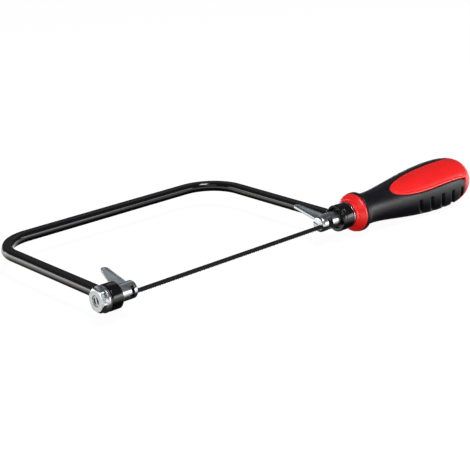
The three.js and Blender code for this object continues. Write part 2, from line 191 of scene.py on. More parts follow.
def soften(obj: bpy.types.Object, width: float, segments: int = 2, angle: float = 32) -> bpy.types.Object:
    """Rounds an object's sharp edges.

    Args:
        obj: The object, in millimetres.
        width: Width of the rounding, in millimetres.
        segments: Faces across it.
        angle: Edges bent by more than this many degrees are rounded.

    Returns:
        The same object.
    """
    bevel = obj.modifiers.new("rounding", "BEVEL")
    bevel.width = width
    bevel.segments = segments
    bevel.limit_method = "ANGLE"
    bevel.angle_limit = math.radians(angle)
    bevel.miter_outer = "MITER_ARC"
    return bake(obj)


class Cut(Enum):
    """What a tool does to the object that it is laid on."""

    AWAY = "DIFFERENCE"
    ADD = "UNION"
    KEEP = "INTERSECT"


def cut(obj: bpy.types.Object, tool: bpy.types.Object, way: Cut = Cut.AWAY) -> bpy.types.Object:
    """Cuts, adds or keeps what a tool covers, and deletes the tool.

    Args:
        obj: The closed object to change.
        tool: A closed object, gone afterwards.
        way: What the tool does.

    Returns:
        The same object as obj.
    """
    change = obj.modifiers.new("cut", "BOOLEAN")
    change.operation = way.value
    change.solver = "EXACT"
    change.object = tool
    bake(obj)
    bpy.data.objects.remove(tool)
    return obj


def join(name: str, parts: Sequence[bpy.types.Object]) -> bpy.types.Object:
    """Gathers several objects' meshes, each a closed shell, in one object.

    Args:
        name: Name of the new object.
        parts: The objects, gone afterwards.

    Returns:
        The new object.
    """
    work = bmesh.new()
    for part in parts:
        work.from_mesh(part.data)
        bpy.data.objects.remove(part)
    mesh = bpy.data.meshes.new(name)
    work.to_mesh(mesh)
    work.free()
    return object_from(name, mesh)


def fillet(points: Profile, radius: float, steps: int = 4, closed: bool = False) -> Profile:
    """Rounds the corners of a profile.

    Args:
        points: Corners as (x, radius) pairs.
        radius: Largest radius of a corner, limited by the sides beside it.
        steps: Chords in each rounded corner.
        closed: Whether the last corner joins the first.

    Returns:
        The rounded profile, without a repeated first point.
    """
    count = len(points)
    out: Profile = []
    for i, corner in enumerate(points):
        if not closed and i in (0, count - 1):
            out.append(corner)
            continue
        here = Vector(corner)
        before = Vector(points[i - 1]) - here
        after = Vector(points[(i + 1) % count]) - here
        bend = before.angle(after)
        if bend > STRAIGHT or radius <= 0:
            out.append(corner)
            continue
        side = CORNER_SHARE * min(before.length, after.length)
        reach = min(radius / math.tan(bend / 2), side)
        start, end = here + before.normalized() * reach, here + after.normalized() * reach
        for k in range(steps + 1):
            t = k / steps
            point = start * (1 - t) ** 2 + here * 2 * t * (1 - t) + end * t**2
            out.append((point.x, point.y))
    return out


def turned(name: str, profile: Profile, sides: int = 96, closed: bool = False) -> bpy.types.Object:
    """Makes a piece turned about the X axis.

    Args:
        name: Name of the object.
        profile: (x, radius) points. An open one starts and ends on the axis.
        sides: Facets round the axis.
        closed: Whether the profile returns to its first point, as for a ring.

    Returns:
        The object.
    """
    points: list[Point] = []
    rings: list[list[int]] = []
    for x, radius in profile:
        if radius < ON_AXIS:
            rings.append([len(points)] * sides)
            points.append((x, 0.0, 0.0))
            continue
        rings.append(list(range(len(points), len(points) + sides)))
        for k in range(sides):
            angle = 2 * math.pi * k / sides
            points.append((x, radius * math.cos(angle), radius * math.sin(angle)))
    faces = []
    for a, b in zip(rings, rings[1:] + (rings[:1] if closed else [])):
        for k in range(sides):
            n = (k + 1) % sides
            face = list(dict.fromkeys((a[k], a[n], b[n], b[k])))
            if len(face) > 2:
                faces.append(face)
    return mesh_object(name, points, faces)


def slab(name: str, outline: Profile, bottom: float, top: float) -> bpy.types.Object:
    """Makes a flat outline in the XY plane into a plate.

    Args:
        name: Name of the object.
        outline: (x, y) points.
        bottom: Z of its lower face.
        top: Z of its upper face.

    Returns:
        The plate.
    """
    count = len(outline)
    points = [(x, y, bottom) for x, y in outline] + [(x, y, top) for x, y in outline]
    faces: list[Sequence[int]] = [tuple(range(count - 1, -1, -1)), tuple(range(count, 2 * count))]
    faces += [(i, (i + 1) % count, count + (i + 1) % count, count + i) for i in range(count)]
    return mesh_object(name, points, faces)


def block(name: str, x: Sequence[float], y: Sequence[float], z: Sequence[float]) -> bpy.types.Object:
    """Makes a box between two values on each axis, as a cutting tool."""
    return slab(name, [(x[0], y[0]), (x[1], y[0]), (x[1], y[1]), (x[0], y[1])], z[0], z[1])


def mark_edges(mesh: bpy.types.Mesh) -> None:
    """Stores on each vertex how sharply the surface bends there, as the attribute edge.

    Args:
        mesh: The mesh, changed in place.
    """
    work = bmesh.new()
    work.from_mesh(mesh)
    values = np.zeros(len(work.verts), np.float32)
    for vert in work.verts:
        bends = [e.calc_face_angle(0.0) for e in vert.link_edges if len(e.link_faces) == 2]
        values[vert.index] = min(1.0, max(bends, default=0.0) / SHARPEST)
    work.free()
    layer = mesh.attributes.new("edge", "FLOAT", "POINT")
    layer.data.foreach_set("value", values)


@dataclass
class Piece:
    """One finished visible piece: its mesh, place, body, finish and the node it stands for."""

    obj: bpy.types.Object
    body: str
    slot: str
    material: bpy.types.Material
    stands_for: tuple[str, ...]
    turn: Turn = Turn.NONE
    crease: float = 38.0

    def settle(self) -> bpy.types.Object:
        """Returns:
            The piece's object.
        """
        mesh = self.obj.data
        mesh.transform(to_row(self.turn))
        mesh.materials.clear()
        mesh.materials.append(self.material)
        mesh.shade_smooth()
        mesh.set_sharp_from_angle(angle=math.radians(self.crease))
        mark_edges(mesh)
        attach(self.obj, self.body)
        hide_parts(*self.stands_for)
        log.info("%s: %d faces on body %s", self.obj.name, len(mesh.polygons), self.body)
        return self.obj


# ---------------------------------------------------------------- node tools


class NodeSketch:
    """Adds nodes to one node tree and links them."""

    def __init__(self, tree: bpy.types.NodeTree) -> None:
        """Keeps the tree."""
        self.tree = tree

    def add(self, kind: str, values: dict | None = None, **settings: object) -> bpy.types.Node:
        """Adds a node.

        Args:
            kind: The node's type name.
            values: Input values or output sockets, by input name or index.
            settings: Attributes of the node.

        Returns:
            The node.
        """
        node = self.tree.nodes.new(kind)
        for key, value in settings.items():
            setattr(node, key, value)
        for key, value in (values or {}).items():
            self.feed(node.inputs[key], value)
        return node

    def feed(self, socket: bpy.types.NodeSocket, value: object) -> None:
        """Links an output to an input, or sets the input's own value.

        Args:
            socket: The input.
            value: An output socket, or a plain value.
        """
        if isinstance(value, bpy.types.NodeSocket):
            self.tree.links.new(value, socket)
        else:
            socket.default_value = value

    def math(self, operation: str, a: object, b: object = 0.0, c: object = 0.0) -> bpy.types.NodeSocket:
        """Adds a math node and returns its value."""
        node = self.add("ShaderNodeMath", {0: a, 1: b, 2: c}, operation=operation)
        return node.outputs[0]


def new_group(
    name: str, kind: str, inputs: dict[str, tuple], outputs: dict[str, str],
) -> tuple[bpy.types.NodeTree, NodeSketch]:
    """Makes an empty node group with named sockets.

    Args:
        name: Name of the group.
        kind: ShaderNodeTree or GeometryNodeTree.
        inputs: Socket type and default value by name.
        outputs: Socket type by name.

    Returns:
        The group and a sketch on it.
    """
    tree = bpy.data.node_groups.new(name, kind)
    for label, (socket, default) in inputs.items():
        item = tree.interface.new_socket(label, in_out="INPUT", socket_type=socket)
        if default is not None:
            item.default_value = default
    for label, socket in outputs.items():
        tree.interface.new_socket(label, in_out="OUTPUT", socket_type=socket)
    return tree, NodeSketch(tree)


FLOAT, INTEGER, GEOMETRY = "NodeSocketFloat", "NodeSocketInt", "NodeSocketGeometry"


def grow(obj: bpy.types.Object, tree: bpy.types.NodeTree, values: dict[str, float]) -> bpy.types.Object:
    """Runs a geometry tree on an object and keeps the result as its mesh.

    Args:
        obj: The object whose mesh the tree takes in.
        tree: The geometry tree.
        values: Its inputs, by name.

    Returns:
        The same object.
    """
    modifier = obj.modifiers.new(tree.name, "NODES")
    modifier.node_group = tree
    for item in tree.interface.items_tree:
        if item.item_type == "SOCKET" and item.in_out == "INPUT" and item.name in values:
            modifier[item.identifier] = values[item.name]
    return bake(obj)


# ---------------------------------------------------------------- geometry trees


def close_tree(s: NodeSketch, geometry: bpy.types.NodeSocket) -> None:
    """Ends a geometry tree in Realize Instances and Set Material.

    Args:
        s: Sketch on the tree.
        geometry: The finished geometry.
    """
    real = s.add("GeometryNodeRealizeInstances", {"Geometry": geometry}).outputs[0]
    dressed = s.add("GeometryNodeSetMaterial", {"Geometry": real}).outputs[0]
    out = s.add("NodeGroupOutput")
    s.tree.links.new(dressed, out.inputs[0])


def rod_tree() -> bpy.types.NodeTree:
    """Tree that bends a rod with pressed flats along a path of straight edges.

    Returns:
        The geometry tree.
    """
    tree, s = new_group("bent_rod", "GeometryNodeTree", {
        "Path": (GEOMETRY, None), "Bend Radius": (FLOAT, 27.0), "Bend Steps": (INTEGER, 40),
        "Rod Radius": (FLOAT, 4.0), "Half Thickness": (FLOAT, 3.25), "Sides": (INTEGER, 96),
    }, {"Geometry": GEOMETRY})
    given = s.add("NodeGroupInput").outputs
    path = s.add("GeometryNodeMeshToCurve", {"Mesh": given["Path"]}).outputs[0]
    bent = s.add("GeometryNodeFilletCurve", {
        "Curve": path, "Radius": given["Bend Radius"], "Count": given["Bend Steps"],
    }, mode="POLY").outputs[0]
    flat = s.add("GeometryNodeSetCurveNormal", {"Curve": bent}, mode="Z_UP").outputs[0]
    round_ = s.add("GeometryNodeCurvePrimitiveCircle", {
        "Resolution": given["Sides"], "Radius": given["Rod Radius"],
    }).outputs[0]
    place = s.add("ShaderNodeSeparateXYZ", {0: s.add("GeometryNodeInputPosition").outputs[0]}).outputs
    lower = s.math("MULTIPLY", given["Half Thickness"], -1.0)
    pressed = s.math("MAXIMUM", s.math("MINIMUM", place["Y"], given["Half Thickness"]), lower)
    moved = s.add("ShaderNodeCombineXYZ", {"X": place["X"], "Y": pressed}).outputs[0]
    section = s.add("GeometryNodeSetPosition", {"Geometry": round_, "Position": moved}).outputs[0]
    swept = s.add("GeometryNodeCurveToMesh", {
        "Curve": flat, "Profile Curve": section, "Fill Caps": True,
    }).outputs[0]
    close_tree(s, swept)
    return tree


def bead_tree() -> bpy.types.NodeTree:
    """Tree that lays a rippled weld bead along a path.

    Returns:
        The geometry tree.
    """
    tree, s = new_group("weld_bead", "GeometryNodeTree", {
        "Path": (GEOMETRY, None), "Bead Radius": (FLOAT, 0.9), "Ripple": (FLOAT, 0.08),
        "Ripple Pitch": (FLOAT, 0.9), "Sides": (INTEGER, 12),
    }, {"Geometry": GEOMETRY})
    given = s.add("NodeGroupInput").outputs
    path = s.add("GeometryNodeMeshToCurve", {"Mesh": given["Path"]}).outputs[0]
    along = s.add("GeometryNodeSplineParameter").outputs["Length"]
    phase = s.math("MULTIPLY", s.math("DIVIDE", along, given["Ripple Pitch"]), 2 * math.pi)
    swell = s.math("MULTIPLY_ADD", s.math("SINE", phase), given["Ripple"], 1.0)
    scaled = s.add("GeometryNodeSetCurveRadius", {"Curve": path, "Radius": swell}).outputs[0]
    section = s.add("GeometryNodeCurvePrimitiveCircle", {
        "Resolution": given["Sides"], "Radius": given["Bead Radius"],
    }).outputs[0]
    swept = s.add("GeometryNodeCurveToMesh", {
        "Curve": scaled, "Profile Curve": section, "Scale": swell,
    }).outputs[0]
    close_tree(s, swept)
    return tree


def thread_tree() -> bpy.types.NodeTree:
    """Tree that winds a screw thread of triangular section up the Z axis.

    Returns:
        The geometry tree.
    """
    tree, s = new_group("screw_thread", "GeometryNodeTree", {
        "Seed": (GEOMETRY, None), "Turns": (FLOAT, 4.0), "Pitch": (FLOAT, 1.25),
        "Root Radius": (FLOAT, 3.3), "Depth": (FLOAT, 0.65),
    }, {"Geometry": GEOMETRY})
    given = s.add("NodeGroupInput").outputs
    height = s.math("MULTIPLY", given["Turns"], given["Pitch"])
    helix = s.add("GeometryNodeCurveSpiral", {
        "Resolution": 40, "Rotations": given["Turns"], "Start Radius": given["Root Radius"],
        "End Radius": given["Root Radius"], "Height": height,
    }).outputs[0]
    upright = s.add("GeometryNodeSetCurveNormal", {"Curve": helix}, mode="Z_UP").outputs[0]
    ridge = s.add("GeometryNodeCurvePrimitiveCircle", {
        "Resolution": 3, "Radius": given["Depth"],
    }).outputs[0]
    swept = s.add("GeometryNodeCurveToMesh", {
        "Curve": upright, "Profile Curve": ridge, "Fill Caps": True,
    }).outputs[0]
    close_tree(s, swept)
    return tree


def teeth_tree() -> bpy.types.NodeTree:
    """Tree that sets saw teeth along the lower edge of a strip, leaning left and right.

    Returns:
        The geometry tree.
    """
    tree, s = new_group("saw_teeth", "GeometryNodeTree", {
        "Strip": (GEOMETRY, None), "Count": (INTEGER, 90), "Pitch": (FLOAT, 1.7),
        "Start": (FLOAT, 0.0), "Edge": (FLOAT, 0.0), "Depth": (FLOAT, 0.75),
        "Thickness": (FLOAT, 0.5), "Set": (FLOAT, 0.1),
    }, {"Geometry": GEOMETRY})
    given = s.add("NodeGroupInput").outputs
    start = s.add("ShaderNodeCombineXYZ", {"X": given["Start"], "Y": given["Edge"]}).outputs[0]
    step = s.add("ShaderNodeCombineXYZ", {"X": given["Pitch"]}).outputs[0]
    row = s.add("GeometryNodeMeshLine", {
        "Count": given["Count"], "Start Location": start, "Offset": step,
    }, mode="OFFSET").outputs[0]
    index = s.add("GeometryNodeInputIndex").outputs[0]
    side = s.math("MULTIPLY_ADD", s.math("MODULO", index, 2.0), 2.0, -1.0)
    lean = s.add("ShaderNodeCombineXYZ", {"Z": s.math("MULTIPLY", side, given["Set"])}).outputs[0]
    staggered = s.add("GeometryNodeSetPosition", {"Geometry": row, "Offset": lean}).outputs[0]
    prism = s.add("GeometryNodeMeshCylinder", {
        "Vertices": 3, "Radius": given["Depth"], "Depth": given["Thickness"],
    }).outputs["Mesh"]
    down = s.add("GeometryNodeTransform", {
        "Geometry": prism, "Rotation": (0.0, 0.0, math.radians(-90)),
    }).outputs[0]
    teeth = s.add("GeometryNodeInstanceOnPoints", {"Points": staggered, "Instance": down}).outputs[0]
    joined = s.add("GeometryNodeJoinGeometry")
    s.tree.links.new(teeth, joined.inputs[0])
    s.tree.links.new(given["Strip"], joined.inputs[0])
    close_tree(s, joined.outputs[0])
    return tree


def groove_tree() -> bpy.types.NodeTree:
    """Tree that presses curved finger grooves into a skin that carries along and around.

    Returns:
        The geometry tree.
    """
    tree, s = new_group("finger_grooves", "GeometryNodeTree", {
        "Skin": (GEOMETRY, None), "First": (FLOAT, 59.0), "Pitch": (FLOAT, 10.8),
        "Count": (INTEGER, 5), "Width": (FLOAT, 2.4), "Depth": (FLOAT, 0.9),
        "Curl": (FLOAT, 5.3), "Reach": (FLOAT, 0.62), "Fade": (FLOAT, 0.14),
    }, {"Geometry": GEOMETRY})
    given = s.add("NodeGroupInput").outputs

    def stored(name: str) -> bpy.types.NodeSocket:
        """Reads a number stored on the skin."""
        return s.add("GeometryNodeInputNamedAttribute", {"Name": name}, data_type="FLOAT").outputs[0]

    around = stored("around")
    from_top = s.math("SUBTRACT", given["Reach"], around)
    lag = s.math("MULTIPLY", s.math("POWER", s.math("MAXIMUM", from_top, 0.0), 2.0), given["Curl"])
    along = s.math("SUBTRACT", s.math("SUBTRACT", stored("along"), given["First"]), lag)
    nearest = s.math("ROUND", s.math("DIVIDE", along, given["Pitch"]))
    last = s.math("SUBTRACT", given["Count"], 1.0)
    kept = s.math("MAXIMUM", s.math("MINIMUM", nearest, last), 0.0)
    off = s.math("ABSOLUTE", s.math("SUBTRACT", along, s.math("MULTIPLY", kept, given["Pitch"])))
    half = s.math("MULTIPLY", given["Width"], 0.5)
    hollow = s.math("SMOOTH_MIN", s.math("DIVIDE", off, half), 1.0, 0.3)
    depth = s.math("MAXIMUM", s.math("SUBTRACT", 1.0, s.math("POWER", hollow, 2.0)), 0.0)
    reach = s.math("SUBTRACT", given["Reach"], s.math("ABSOLUTE", around))
    fade = s.math("MINIMUM", s.math("MAXIMUM", s.math("DIVIDE", reach, given["Fade"]), 0.0), 1.0)
    press = s.math("MULTIPLY", s.math("MULTIPLY", depth, fade), s.math("MULTIPLY", given["Depth"], -1.0))
    inward = s.add("ShaderNodeVectorMath", {
        0: s.add("GeometryNodeInputNormal").outputs[0], "Scale": press,
    }, operation="SCALE").outputs[0]
    shown = s.math("GREATER_THAN", stored("outer"), 0.5)
    pressed = s.add("GeometryNodeSetPosition", {
        "Geometry": given["Skin"], "Selection": shown, "Offset": inward,
    }).outputs[0]
    close_tree(s, pressed)
    return tree


# ---------------------------------------------------------------- shared surface effects

CLOUD_RANGE = (0.3, 0.7)
SPECK_SCALE, SPECK_SIZE = 1400.0, 0.16
PATCH_SCALE, PATCH_LEVEL = 230.0, 0.55
MIX_FACTOR, MIX_A, MIX_B, MIX_RESULT = 0, 6, 7, 2


def mottle_group() -> bpy.types.NodeTree:
    """Shader group: a soft cloudy value between two limits, for uneven gloss or tint.

    Returns:
        The group.
    """
    tree, s = new_group("mottle", "ShaderNodeTree", {
        "Scale": (FLOAT, 200.0), "Detail": (FLOAT, 3.0), "Low": (FLOAT, 0.3), "High": (FLOAT, 0.4),
    }, {"Value": FLOAT})
    given = s.add("NodeGroupInput").outputs
    place = s.add("ShaderNodeTexCoord").outputs["Object"]
    cloud = s.add("ShaderNodeTexNoise", {
        "Vector": place, "Scale": given["Scale"], "Detail": given["Detail"],
    }).outputs[0]
    value = s.add("ShaderNodeMapRange", {
        "Value": cloud, "From Min": CLOUD_RANGE[0], "From Max": CLOUD_RANGE[1],
        "To Min": given["Low"], "To Max": given["High"],
    }).outputs[0]
    s.tree.links.new(value, s.add("NodeGroupOutput").inputs[0])
    return tree


def grain_group() -> bpy.types.NodeTree:
    """Shader group: height of a fine grain with a coarser wave under it.

    Returns:
        The group.
    """
    tree, s = new_group("grain", "ShaderNodeTree", {
        "Fine Scale": (FLOAT, 4000.0), "Coarse Scale": (FLOAT, 400.0), "Coarse Share": (FLOAT, 0.4),
    }, {"Height": FLOAT})
    given = s.add("NodeGroupInput").outputs
    place = s.add("ShaderNodeTexCoord").outputs["Object"]
    fine = s.add("ShaderNodeTexNoise", {
        "Vector": place, "Scale": given["Fine Scale"], "Detail": 2.0,
    }).outputs[0]
    coarse = s.add("ShaderNodeTexNoise", {
        "Vector": place, "Scale": given["Coarse Scale"], "Detail": 1.0,
    }).outputs[0]
    height = s.math("MULTIPLY_ADD", coarse, given["Coarse Share"], fine)
    s.tree.links.new(height, s.add("NodeGroupOutput").inputs[0])
    return tree


def wear_group() -> bpy.types.NodeTree:
    """Shader group: where edges are abraded, which on the washers' dark finish also paints a highlight on
    their rims, and where fine dust lies, as two masks.

    Returns:
        The group.
    """
    tree, s = new_group("wear_and_highlight", "ShaderNodeTree", {
        "Edge Amount": (FLOAT, 0.3), "Scale": (FLOAT, 900.0), "Dust Amount": (FLOAT, 0.05),
    }, {"Edge": FLOAT, "Dust": FLOAT})
    given = s.add("NodeGroupInput").outputs
    place = s.add("ShaderNodeTexCoord").outputs["Object"]
    edge = s.add("ShaderNodeAttribute", attribute_name="edge").outputs["Fac"]
    patchy = s.add("ShaderNodeTexNoise", {
        "Vector": place, "Scale": given["Scale"], "Detail": 4.0,
    }).outputs[0]
    rubbed_and_highlight = s.math("MULTIPLY", s.math("MULTIPLY", edge, patchy), given["Edge Amount"])
    specks = s.add("ShaderNodeTexVoronoi", {"Vector": place, "Scale": SPECK_SCALE}).outputs["Distance"]
    small = s.math("LESS_THAN", specks, SPECK_SIZE)
    sparse = s.add("ShaderNodeTexNoise", {"Vector": place, "Scale": PATCH_SCALE}).outputs[0]
    dusty = s.math("MULTIPLY", small, s.math("GREATER_THAN", sparse, PATCH_LEVEL))
    dust = s.math("MULTIPLY", dusty, given["Dust Amount"])
    out = s.add("NodeGroupOutput")
    s.tree.links.new(rubbed_and_highlight, out.inputs["Edge"])
    s.tree.links.new(dust, out.inputs["Dust"])
    return tree


class Effects:
    """The shared shader groups, each made once."""

    def __init__(self) -> None:
        """Builds the groups."""
        self.mottle = mottle_group()
        self.grain = grain_group()
        self.wear_and_highlight = wear_group()


def rgba(color: Rgb) -> tuple[float, float, float, float]:
    """Adds a full alpha to a colour."""
    return (*color, 1.0)


@dataclass(frozen=True)
class Finish:
    """One surface finish: its tints, gloss, grain and abraded edges, which on the washers' dark finish are
    partly a painted highlight.

    The tint drifts between color and drift. Sharp edges go towards worn_and_highlight, as abrasion and, on
    the washers' dark finish, partly as a painted highlight on the rims; dust goes towards dusty. Bump
    sizes are in metres.
    """

    name: str
    color: Rgb
    drift: Rgb
    worn_and_highlight: Rgb
    roughness: tuple[float, float]
    metallic: float = 0.0
    gloss_scale: float = 120.0
    drift_scale: float = 60.0
    fine_scale: float = 4000.0
    coarse_scale: float = 400.0
    coarse_share: float = 0.4
    bump: float = 0.1
    bump_depth: float = 0.00005
    edge_amount: float = 0.3
    dust_amount: float = 0.1
    specular: float = 0.5
    dusty: Rgb = (0.45, 0.43, 0.4)
    dust_roughness: float = 0.4

    def material(self, effects: Effects) -> bpy.types.Material:
        """Builds the finish as a material.

        Args:
            effects: The shared shader groups.

        Returns:
            The material.
        """
        made = bpy.data.materials.new(self.name)
        made.use_nodes = True
        tree = made.node_tree
        tree.nodes.clear()
        s = NodeSketch(tree)
        shader = s.add("ShaderNodeBsdfPrincipled", {
            "Metallic": self.metallic, "Specular IOR Level": self.specular,
        })
        gloss = self.place(s, effects.mottle, {
            "Scale": self.gloss_scale, "Low": self.roughness[0], "High": self.roughness[1],
        })
        cloud = self.place(s, effects.mottle, {"Scale": self.drift_scale, "Low": 0.0, "High": 1.0})
        wear_and_highlight = self.place(s, effects.wear_and_highlight, {
            "Edge Amount": self.edge_amount, "Dust Amount": self.dust_amount,
        })
        grain = self.place(s, effects.grain, {
            "Fine Scale": self.fine_scale, "Coarse Scale": self.coarse_scale,
            "Coarse Share": self.coarse_share,
        })
        tint = self.blend(s, cloud.outputs[0], rgba(self.color), rgba(self.drift))
        # Edge tint from the abrasion mask; on the washers' dark finish it is partly a painted highlight on
        # the rims.
        rubbed_and_highlight = self.blend(s, wear_and_highlight.outputs["Edge"], tint, rgba(self.worn_and_highlight))
        base = self.blend(s, wear_and_highlight.outputs["Dust"], rubbed_and_highlight, rgba(self.dusty))
        bump = s.add("ShaderNodeBump", {
            "Strength": self.bump, "Distance": self.bump_depth, "Height": grain.outputs[0],
        })
        dull = s.math("MULTIPLY", wear_and_highlight.outputs["Dust"], self.dust_roughness)
        s.feed(shader.inputs["Base Color"], base)
        s.feed(shader.inputs["Roughness"], s.math("ADD", gloss.outputs[0], dull))
        s.feed(shader.inputs["Normal"], bump.outputs[0])
        out = s.add("ShaderNodeOutputMaterial")
        tree.links.new(shader.outputs[0], out.inputs["Surface"])
        return made

    @staticmethod
    def place(s: NodeSketch, group: bpy.types.NodeTree, values: dict[str, float]) -> bpy.types.Node:
        """Places a shared group in the material.

        Args:
            s: Sketch on the material's tree.
            group: The group.
            values: Its inputs, by name.

        Returns:
            The group's node.
        """
        node = s.add("ShaderNodeGroup", node_tree=group)
        for name, value in values.items():
            node.inputs[name].default_value = value
        return node

    @staticmethod
    def blend(s: NodeSketch, factor: object, a: object, b: object) -> bpy.types.NodeSocket:
        """Mixes two colours.

        Args:
            s: Sketch on the material's tree.
            factor: Share of the second colour.
            a: The first colour, or a socket that gives it.
            b: The second.

        Returns:
            The mixed colour's socket.
        """
        node = s.add("ShaderNodeMix", {MIX_FACTOR: factor, MIX_A: a, MIX_B: b}, data_type="RGBA")
        return node.outputs[MIX_RESULT]


BLACK_ENAMEL = Finish(
    "black_enamel", (0.0022, 0.0020, 0.0024), (0.0036, 0.0032, 0.0038), (0.04, 0.04, 0.042), (0.09, 0.15),
    coarse_scale=900.0, coarse_share=1.2, fine_scale=2600.0, bump=0.07, bump_depth=0.00003,
    edge_amount=0.2, dust_amount=0.05,
)
BRIGHT_ZINC = Finish(
    "bright_zinc", (0.41, 0.44, 0.47), (0.50, 0.53, 0.545), (0.86, 0.86, 0.83), (0.22, 0.32),
    metallic=1.0, gloss_scale=260.0, drift_scale=140.0, fine_scale=5000.0, coarse_scale=900.0,
    coarse_share=0.6, bump=0.05, bump_depth=0.00003, edge_amount=0.25, dust_amount=0.02,
)
# Pale edge tint and strong edge amount: partly abrasion of the washers' rims, partly a painted highlight
# along them.
DARK_OXIDE_RIM_HIGHLIGHT = Finish(
    "dark_oxide_rim_highlight", (0.03, 0.03, 0.033), (0.05, 0.047, 0.045), (0.42, 0.41, 0.38), (0.3, 0.45),
    metallic=0.8, gloss_scale=600.0, drift_scale=300.0, bump=0.1, edge_amount=1.2,
)
TOOTH_STEEL = Finish(
    "tooth_steel", (0.003, 0.003, 0.0035), (0.006, 0.0055, 0.0055), (0.09, 0.09, 0.1), (0.4, 0.55),
    metallic=0.0, gloss_scale=700.0, drift_scale=260.0, bump=0.12, edge_amount=0.2, specular=0.16,
)
TURNED_BRASS = Finish(
    "turned_brass", (0.62, 0.43, 0.16), (0.7, 0.5, 0.22), (0.85, 0.68, 0.36), (0.25, 0.4),
    metallic=1.0, edge_amount=0.5,
)
RED_GLOSS = Finish(
    "red_gloss", (0.90, 0.013, 0.012), (0.82, 0.009, 0.010), (0.95, 0.07, 0.05), (0.3, 0.4),
    gloss_scale=160.0, drift_scale=40.0, fine_scale=3500.0, coarse_scale=700.0, bump=0.06,
    bump_depth=0.00004, edge_amount=0.3, dust_amount=0.03,
)
SOFT_GRIP = Finish(
    "soft_grip", (0.0018, 0.0016, 0.0046), (0.0030, 0.0027, 0.0064), (0.03, 0.03, 0.035), (0.33, 0.42),
    gloss_scale=260.0, fine_scale=5200.0, coarse_scale=1500.0, coarse_share=0.6, bump=0.3,
    bump_depth=0.00005, edge_amount=0.3, dust_amount=0.05, specular=0.4,
)


# ---------------------------------------------------------------- frame


@dataclass
class FrameUnit:
    """Bent rod, its two barrels and the weld beads that join them."""

    depth: float = 127.0
    bend_radius: float = 27.0
    rod_radius: float = ROD_WIDTH / 2
    half_thickness: float = 3.25
    rim: float = 0.7
    bore: float = 8.2
    recess: float = 13.6
    recess_depth: float = 3.2
    rounding: float = 0.3
    let_in: float = 1.5
    step_start: float = 2.0
    step_width: float = 0.8
    step_slope: float = 0.2
    bead: float = 0.85
    bead_rise: float = 0.1
    bead_steps: int = 72

    def bow(self) -> bpy.types.Object:
        """Sweeps the rod from barrel to barrel.

        Returns:
            The bow.
        """
        front = radius_of("front_barrel") - self.let_in
        rear = radius_of("rear_barrel") - self.let_in
        corners = [(0, front, 0), (0, self.depth, 0), (ARM_SPACING, self.depth, 0), (ARM_SPACING, rear, 0)]
        path = mesh_object("bow", corners, (), [(0, 1), (1, 2), (2, 3)])
        return grow(path, rod_tree(), {
            "Bend Radius": self.bend_radius, "Bend Steps": 48, "Rod Radius": self.rod_radius,
            "Half Thickness": self.half_thickness, "Sides": 96,
        })

    def barrel(self, node: str, step: float) -> bpy.types.Object:
        """Turns a barrel with broken edges and a shallow step behind its front rim.

        Args:
            node: The CAD barrel that gives its length and diameter.
            step: Depth of the step.

        Returns:
            The barrel.
        """
        start, end = span_x(node)
        radius = radius_of(node)
        inner = self.bore / 2
        first = start + self.step_start
        last = first + self.step_width
        corners = [
            (start, inner), (start, radius - self.rim), (start + self.rim, radius), (first, radius),
            (first + self.step_slope, radius - step), (last - self.step_slope, radius - step),
            (last, radius), (end - self.rim, radius), (end, radius - self.rim), (end, inner),
        ]
        if node == "rear_barrel":
            floor = start + self.recess_depth
            recess = self.recess / 2
            corners[:1] = [(floor, inner), (floor, recess), (start, recess)]
        return turned(node, fillet(corners, self.rounding, closed=True), closed=True)

    def weld(self, node: str, arm_x: float) -> bpy.types.Object:
        """Lays the bead where an arm meets its barrel.

        Args:
            node: The barrel's name.
            arm_x: X of the arm's centre line.

        Returns:
            The bead.
        """
        barrel = radius_of(node)
        steps = self.bead_steps
        points = []
        for k in range(steps):
            angle = 2 * math.pi * k / steps
            z = max(-self.half_thickness, min(self.half_thickness, self.rod_radius * math.sin(angle)))
            x = self.rod_radius * math.cos(angle)
            points.append((arm_x + x, math.sqrt(barrel**2 - z**2) + self.bead_rise, z))
        edges = [(k, (k + 1) % steps) for k in range(steps)]
        path = mesh_object(f"weld_{node}", points, (), edges)
        return grow(path, bead_tree(), {
            "Bead Radius": self.bead, "Ripple": 0.07, "Ripple Pitch": 1.0, "Sides": 12,
        })

    def build(self, enamel: bpy.types.Material) -> None:
        """Makes and dresses the frame's pieces.

        Args:
            enamel: The paint on all of them.
        """
        Piece(self.bow(), "frame", "black_paint", enamel, ("frame_bow",), crease=60).settle()
        for node, step, arm_x in (("front_barrel", 0.0, 0.0), ("rear_barrel", 0.25, ARM_SPACING)):
            Piece(self.barrel(node, step), "frame", "black_paint", enamel, (node,)).settle()
            bead = self.weld(node, arm_x)
            Piece(bead, "frame", "black_paint", enamel, (), crease=60).settle()


# ---------------------------------------------------------------- blade and its holders


@dataclass
class BladeFit:
    """Sizes that the blade, its pins and both spigots share."""

    offset: float = 3.2
    height: float = 3.8
    thickness: float = 0.5
    tail: float = 2.2
    pin_radius: float = 0.9
    pin_length: float = 8.0
    pin_dome: float = 0.35
    slot_gap: float = 0.3
    travel: float = 2.1

    @property
    def back(self) -> float:
        """Y of the blade's plain edge."""
        return self.height / 2 - self.offset

    def pin_x(self, node: str) -> float:
        """X of a pin's centre."""
        return sum(span_x(node)) / 2


